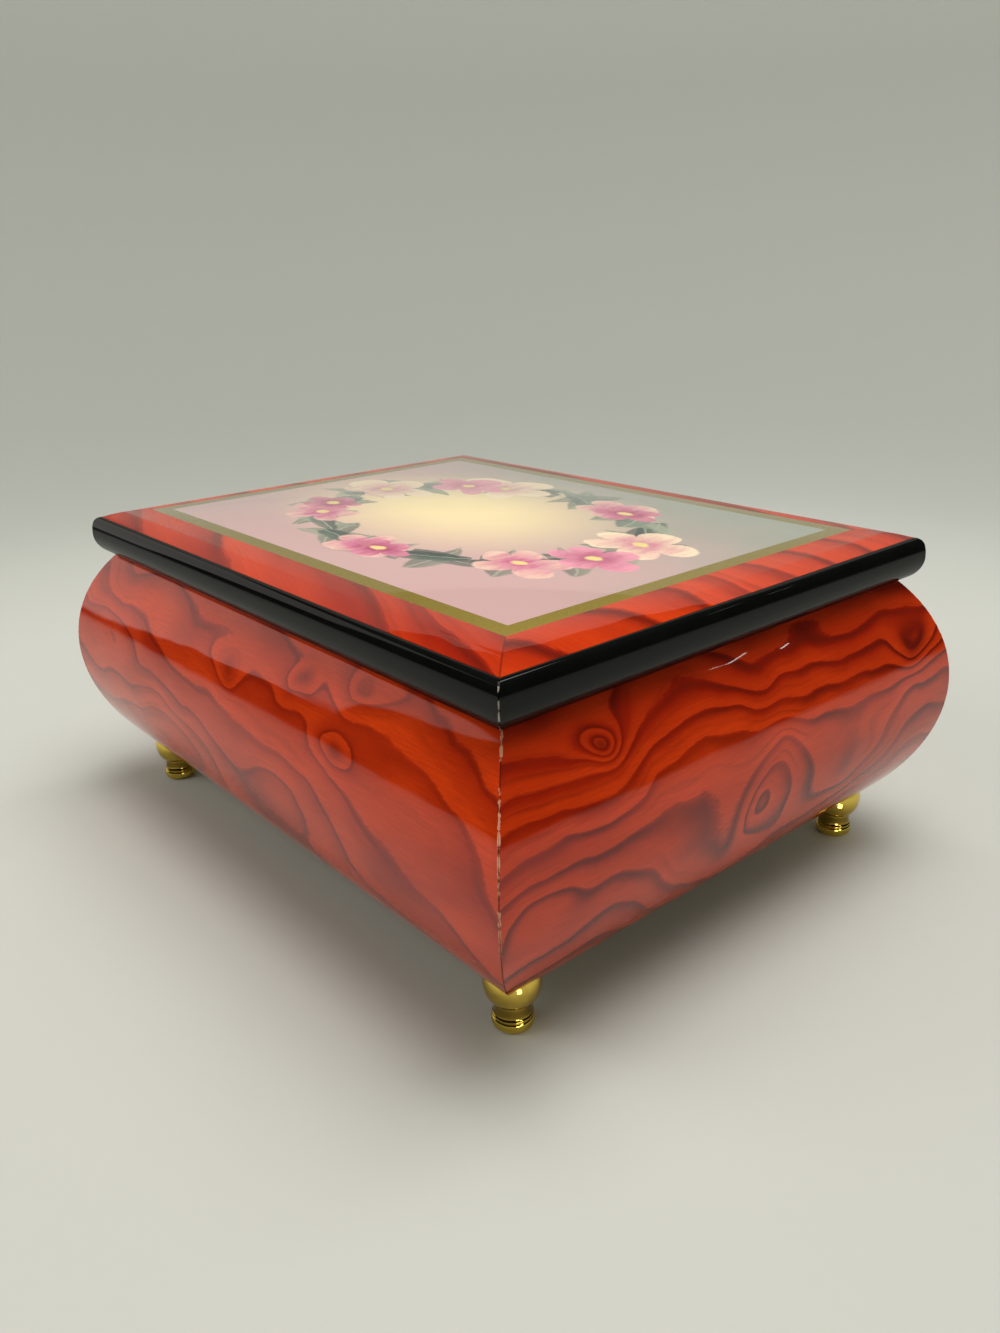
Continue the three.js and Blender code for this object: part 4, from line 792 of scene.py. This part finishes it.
# Movement cover. A clear acrylic sheet rests on two velvet-covered cleats over the movement, with a slot that
# the stop lever comes up through.
for cleat in ("cover_cleat_left", "cover_cleat_right"):
    finished_copy(cleat, velvet, 0.4 * mm)
acrylic, tree, shader = new_finish(
    "clear_acrylic", Base_Color=(0.93, 0.97, 0.97, 1), Roughness=0.02, IOR=1.49, Transmission_Weight=1.0
)
place = lay(tree, "TexCoord").outputs["Object"]
scuffs = fade(tree, speckle(tree, steer(tree, "MULTIPLY", place, (900.0, 120.0, 1.0)), 1.0, 3.0), 0.62, 0.8)
tree.links.new(reckon(tree, "MULTIPLY_ADD", scuffs, 0.03, 0.005), shader["Roughness"])
finished_copy("movement_cover", acrylic, 0.2 * mm)


# Musical movement. A die-cast bedplate carries the spring housing, the pinned brass cylinder, the tuned steel
# comb and the governor; it is screwed down to the base board.
cast_zinc, tree, shader = new_finish("cast_zinc", Metallic=0.9, Roughness=0.45)
place = lay(tree, "TexCoord").outputs["Object"]
skin = speckle(tree, place, 900.0, 3.0)
tree.links.new(tint(tree, skin, (0.40, 0.39, 0.36, 1), (0.56, 0.55, 0.51, 1)), shader["Base Color"])
tree.links.new(reckon(tree, "MULTIPLY_ADD", skin, 0.25, 0.32), shader["Roughness"])
pits = lay(tree, "Bump", {"Height": skin, "Strength": 0.25, "Distance": 0.08 * mm})
tree.links.new(pits.outputs[0], shader["Normal"])

ground_steel, tree, shader = new_finish("ground_steel", Metallic=1.0, Roughness=0.3)
place = lay(tree, "TexCoord").outputs["Object"]
scratches = speckle(tree, steer(tree, "MULTIPLY", place, (200.0, 3800.0, 3800.0)), 1.0, 2.0)
tree.links.new(tint(tree, scratches, (0.50, 0.51, 0.53, 1), (0.72, 0.73, 0.74, 1)), shader["Base Color"])
tree.links.new(reckon(tree, "MULTIPLY_ADD", scratches, 0.2, 0.18), shader["Roughness"])
lines = lay(tree, "Bump", {"Height": scratches, "Strength": 0.03, "Distance": 0.02 * mm})
tree.links.new(lines.outputs[0], shader["Normal"])

finished_copy("movement_bedplate", cast_zinc, 0.15 * mm)
finished_copy("spring_housing", cast_zinc, 0.15 * mm)
steel_parts = (
    "comb", "cylinder_axle", "mainspring", "winding_arbor",
    "governor_fan", "governor_bracket", "stop_lever", "lever_pin",
)
for part in steel_parts:
    finished_copy(part, ground_steel, 0.05 * mm, 18)
for part in ("cylinder", "cylinder_wheel", "crown_wheel", "governor_wheel"):
    finished_copy(part, polished_brass, 0.03 * mm, 18)
finished_copy("winding_key", polished_brass, 0.25 * mm)
low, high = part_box("comb")
from_back, head_middle = 3 * mm, 0.35 * mm
head_radius, head_height = 2.0 * mm, 0.9 * mm
for end, share in (("a", 0.25), ("b", 0.75)):
    place = (high.x - from_back, low.y + share * (high.y - low.y), high.z + head_middle)
    screw = slotted_screw("comb_screw_" + end, place, 1, head_radius, head_height, ground_steel, "case")


# Worm. A two-start screw thread on the fan's steel spindle, beside the wheel that drives it. Its two ridges
# wind half a turn apart.
worm_x, worm_y, worm_z = -60.1 * mm, 24.4 * mm, 29.95 * mm
worm_core, worm_ridge, worm_lead, worm_turns, worm_steps = 1.15 * mm, 0.14 * mm, 2.25 * mm, 2.5, 24
thread_seat, thread_half_width = worm_core - 0.05 * mm, 0.3 * mm
for start, half_turn in (("a", 0), ("b", math.pi)):
    bm = bmesh.new()
    foot_of_worm = worm_z - worm_lead * worm_turns / 2
    ridge = [(thread_seat, -thread_half_width), (worm_core + worm_ridge, 0), (thread_seat, thread_half_width)]
    corners = [bm.verts.new((radius, 0, foot_of_worm + rise)) for radius, rise in ridge]
    section = bm.faces.new(corners)
    bmesh.ops.spin(
        bm, geom=[section], cent=(0, 0, 0), axis=(0, 0, 1), dvec=(0, 0, worm_lead / worm_steps),
        angle=2 * math.pi * worm_turns, steps=int(worm_turns * worm_steps),
    )
    bmesh.ops.remove_doubles(bm, verts=bm.verts, dist=same_point)
    bmesh.ops.recalc_face_normals(bm, faces=bm.faces)
    bmesh.ops.rotate(bm, cent=(0, 0, 0), matrix=Matrix.Rotation(half_turn, 3, "Z"), verts=bm.verts)
    bmesh.ops.translate(bm, vec=(worm_x, worm_y, 0), verts=bm.verts)
    thread = new_piece("worm_thread_" + start, bm, ground_steel, 50)
    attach(thread, "fan")


# Studio. The box stands on a pale seamless sweep under a large soft light, with a weak fill from the front
# left. A glow on the left wall and a few small lamps give the gloss its reflections, three of the lamps
# only in the feet. In front and to the right the sweep is painted dark for reflections only, a painted
# dark room, so the lacquer stays deep there.
sweep, tree, shader = new_finish(
    "pale_sweep", Roughness=0.9, Specular_IOR_Level=0.1, Emission_Strength=0.85
)
place = lay(tree, "TexCoord").outputs["Object"]
x, y, z = lay(tree, "SeparateXYZ", {0: place}).outputs
mottle = speckle(tree, place, 12.0, 4.0)
colour = tint(tree, mottle, (0.513, 0.519, 0.484, 1), (0.533, 0.539, 0.504, 1))
# Painted falloff of the light: the sweep's colour darkens away from the box.
painted_falloff_reach = steer(tree, "LENGTH", place)
colour = tint(tree, fade(tree, painted_falloff_reach, 0.18, 0.55), colour, (0.37, 0.38, 0.35, 1))
path = lay(tree, "LightPath").outputs
low_edge = reckon(tree, "ADD", reckon(tree, "MULTIPLY_ADD", z, 1.5, y), 0.201)
near_edge = reckon(tree, "ADD", reckon(tree, "MULTIPLY_ADD", z, 0.24, y), 0.385)
window = fade(tree, reckon(tree, "MINIMUM", low_edge, near_edge), -0.006, 0.006)
for limited, outside, inside in ((y, -0.02, -0.08), (z, 0.5, 0.46), (z, 0.02, 0.035), (x, -0.2, -0.25)):
    window = reckon(tree, "MULTIPLY", window, fade(tree, limited, outside, inside))
# Painted dark reflection: glossy rays see the sweep dark in front and to the right, in place of a dark room.
painted_dark_reflection = reckon(tree, "MAXIMUM", fade(tree, x, 0.02, 0.08), fade(tree, y, 0.04, -0.02))
painted_dark_reflection = reckon(tree, "MULTIPLY", painted_dark_reflection, fade(tree, z, 0.004, 0.02))
painted_dark_reflection = reckon(tree, "MULTIPLY", painted_dark_reflection, path["Is Glossy Ray"])
colour = tint(tree, painted_dark_reflection, colour, (0.015, 0.014, 0.013, 1))
tree.links.new(colour, shader["Base Color"])
unseen = reckon(tree, "SUBTRACT", 1.0, path["Is Camera Ray"])
glow = reckon(tree, "MULTIPLY", window, unseen)
tree.links.new(tint(tree, glow, (0, 0, 0, 1), (1.0, 0.94, 0.86, 1)), shader["Emission Color"])

floor_reach, bend_radius, bend = 380 * mm, 300 * mm, math.radians(80)
wall_lean, wall_height = 70 * mm, 420 * mm
bm = bmesh.new()
rib = [bm.verts.new((0, 0, 0)), bm.verts.new((floor_reach, 0, 0))]
bm.edges.new(rib)
curve = bmesh.ops.spin(
    bm, geom=[rib[1]], cent=(floor_reach, 0, bend_radius), axis=(0, -1, 0), angle=bend, steps=16
)
wall = bmesh.ops.extrude_vert_indiv(bm, verts=points_of(curve["geom_last"]))["verts"]
bmesh.ops.translate(bm, vec=(wall_lean, 0, wall_height), verts=wall)
bmesh.ops.spin(
    bm, geom=bm.verts[:] + bm.edges[:], cent=(0, 0, 0), axis=(0, 0, 1), angle=2 * math.pi, steps=96,
    use_merge=True,
)
bmesh.ops.remove_doubles(bm, verts=bm.verts, dist=same_point)
bmesh.ops.recalc_face_normals(bm, faces=bm.faces)
new_piece("studio_sweep", bm, sweep, 60)


def soft_light(name, place, target, size, power, lights_up=True, mirrored=True, only=None):
    """An area light; it can show in reflections only, or in all but those, or light only a few pieces."""
    light = bpy.data.lights.new(name, "AREA")
    light.shape, light.size, light.size_y = "RECTANGLE", size[0], size[1]
    light.energy, light.color = power, (1.0, 0.99, 0.95)
    lamp = bpy.data.objects.new(name, light)
    lamp.location = place
    lamp.rotation_euler = (Vector(target) - Vector(place)).to_track_quat("-Z", "Y").to_euler()
    lamp.visible_camera, lamp.visible_diffuse, lamp.visible_glossy = False, lights_up, mirrored
    lamp.light_linking.receiver_collection = only
    bpy.context.scene.collection.objects.link(lamp)


soft_light("overhead", (0.10, 0.14, 1.0), (0, 0, 0), (0.8, 0.8), 11.8)
soft_light("front_fill", (-0.30, -0.55, 0.45), (0, 0, 0.03), (0.4, 0.3), 1.4, mirrored=False)
soft_light("back_lamp", (0.383, 0.483, 0.358), (0.075, 0, 0.058), (0.03, 0.005), 0.0035, lights_up=False)
soft_light("far_back_lamp", (0.386, 0.522, 0.317), (0.075, 0, 0.058), (0.022, 0.005), 0.003, lights_up=False)
soft_light("right_lamp", (0.60, -0.02, 0.24), (0.07, -0.05, 0.01), (0.12, 0.1), 0.6, lights_up=False)
feet = bpy.data.collections.new("feet")
for foot in foot_corners:
    feet.objects.link(bpy.data.objects[foot + "_foot"])
foot_lamps = [
    ("low_lamp", (0.349, -0.118, 0.033), (0.067, -0.05, 0.009), (0.12, 0.05), 0.09),
    ("near_glint", (0.090, -0.0577, 0.0035), (0.0722, -0.0526, 0.0102), (0.006, 0.006), 0.0006),
    ("right_glint", (0.0785, 0.0415, 0.003), (0.0711, 0.0463, 0.0088), (0.004, 0.004), 0.0003),
]
for foot_lamp in foot_lamps:
    soft_light(*foot_lamp, lights_up=False, only=feet)
world = bpy.data.worlds.new("studio_air")
world.use_nodes = True
world.node_tree.nodes["Background"].inputs[0].default_value = (0.9, 0.92, 0.9, 1)
world.node_tree.nodes["Background"].inputs[1].default_value = 0.05
bpy.context.scene.world = world
bpy.context.scene.view_settings.view_transform = "Standard"


# Camera. Close to the box, a little above it and off its near corner, as it was photographed.
eye = Vector((185.336, -151.022, 127.209)) * mm
yaw, pitch, roll_angle = 0.868, 0.365, -0.025
ahead = Vector((-math.sin(yaw) * math.cos(pitch), math.cos(yaw) * math.cos(pitch), -math.sin(pitch)))
right = ahead.cross(Vector((0, 0, 1))).normalized()
up = right.cross(ahead)
tilted_right = right * math.cos(roll_angle) + up * math.sin(roll_angle)
tilted_up = up * math.cos(roll_angle) - right * math.sin(roll_angle)
lens = bpy.data.cameras.new("camera")
focal_pixels, frame_height, sensor = 1064.613, 1333, 36
lens.sensor_fit, lens.sensor_width = "AUTO", sensor
lens.lens = focal_pixels / frame_height * sensor
lens.clip_start, lens.clip_end = 0.005, 20
camera = bpy.data.objects.new("camera", lens)
aim = Matrix((tilted_right, tilted_up, -ahead)).transposed().to_4x4()
camera.matrix_world = Matrix.Translation(eye) @ aim
bpy.context.scene.collection.objects.link(camera)
bpy.context.scene.camera = camera
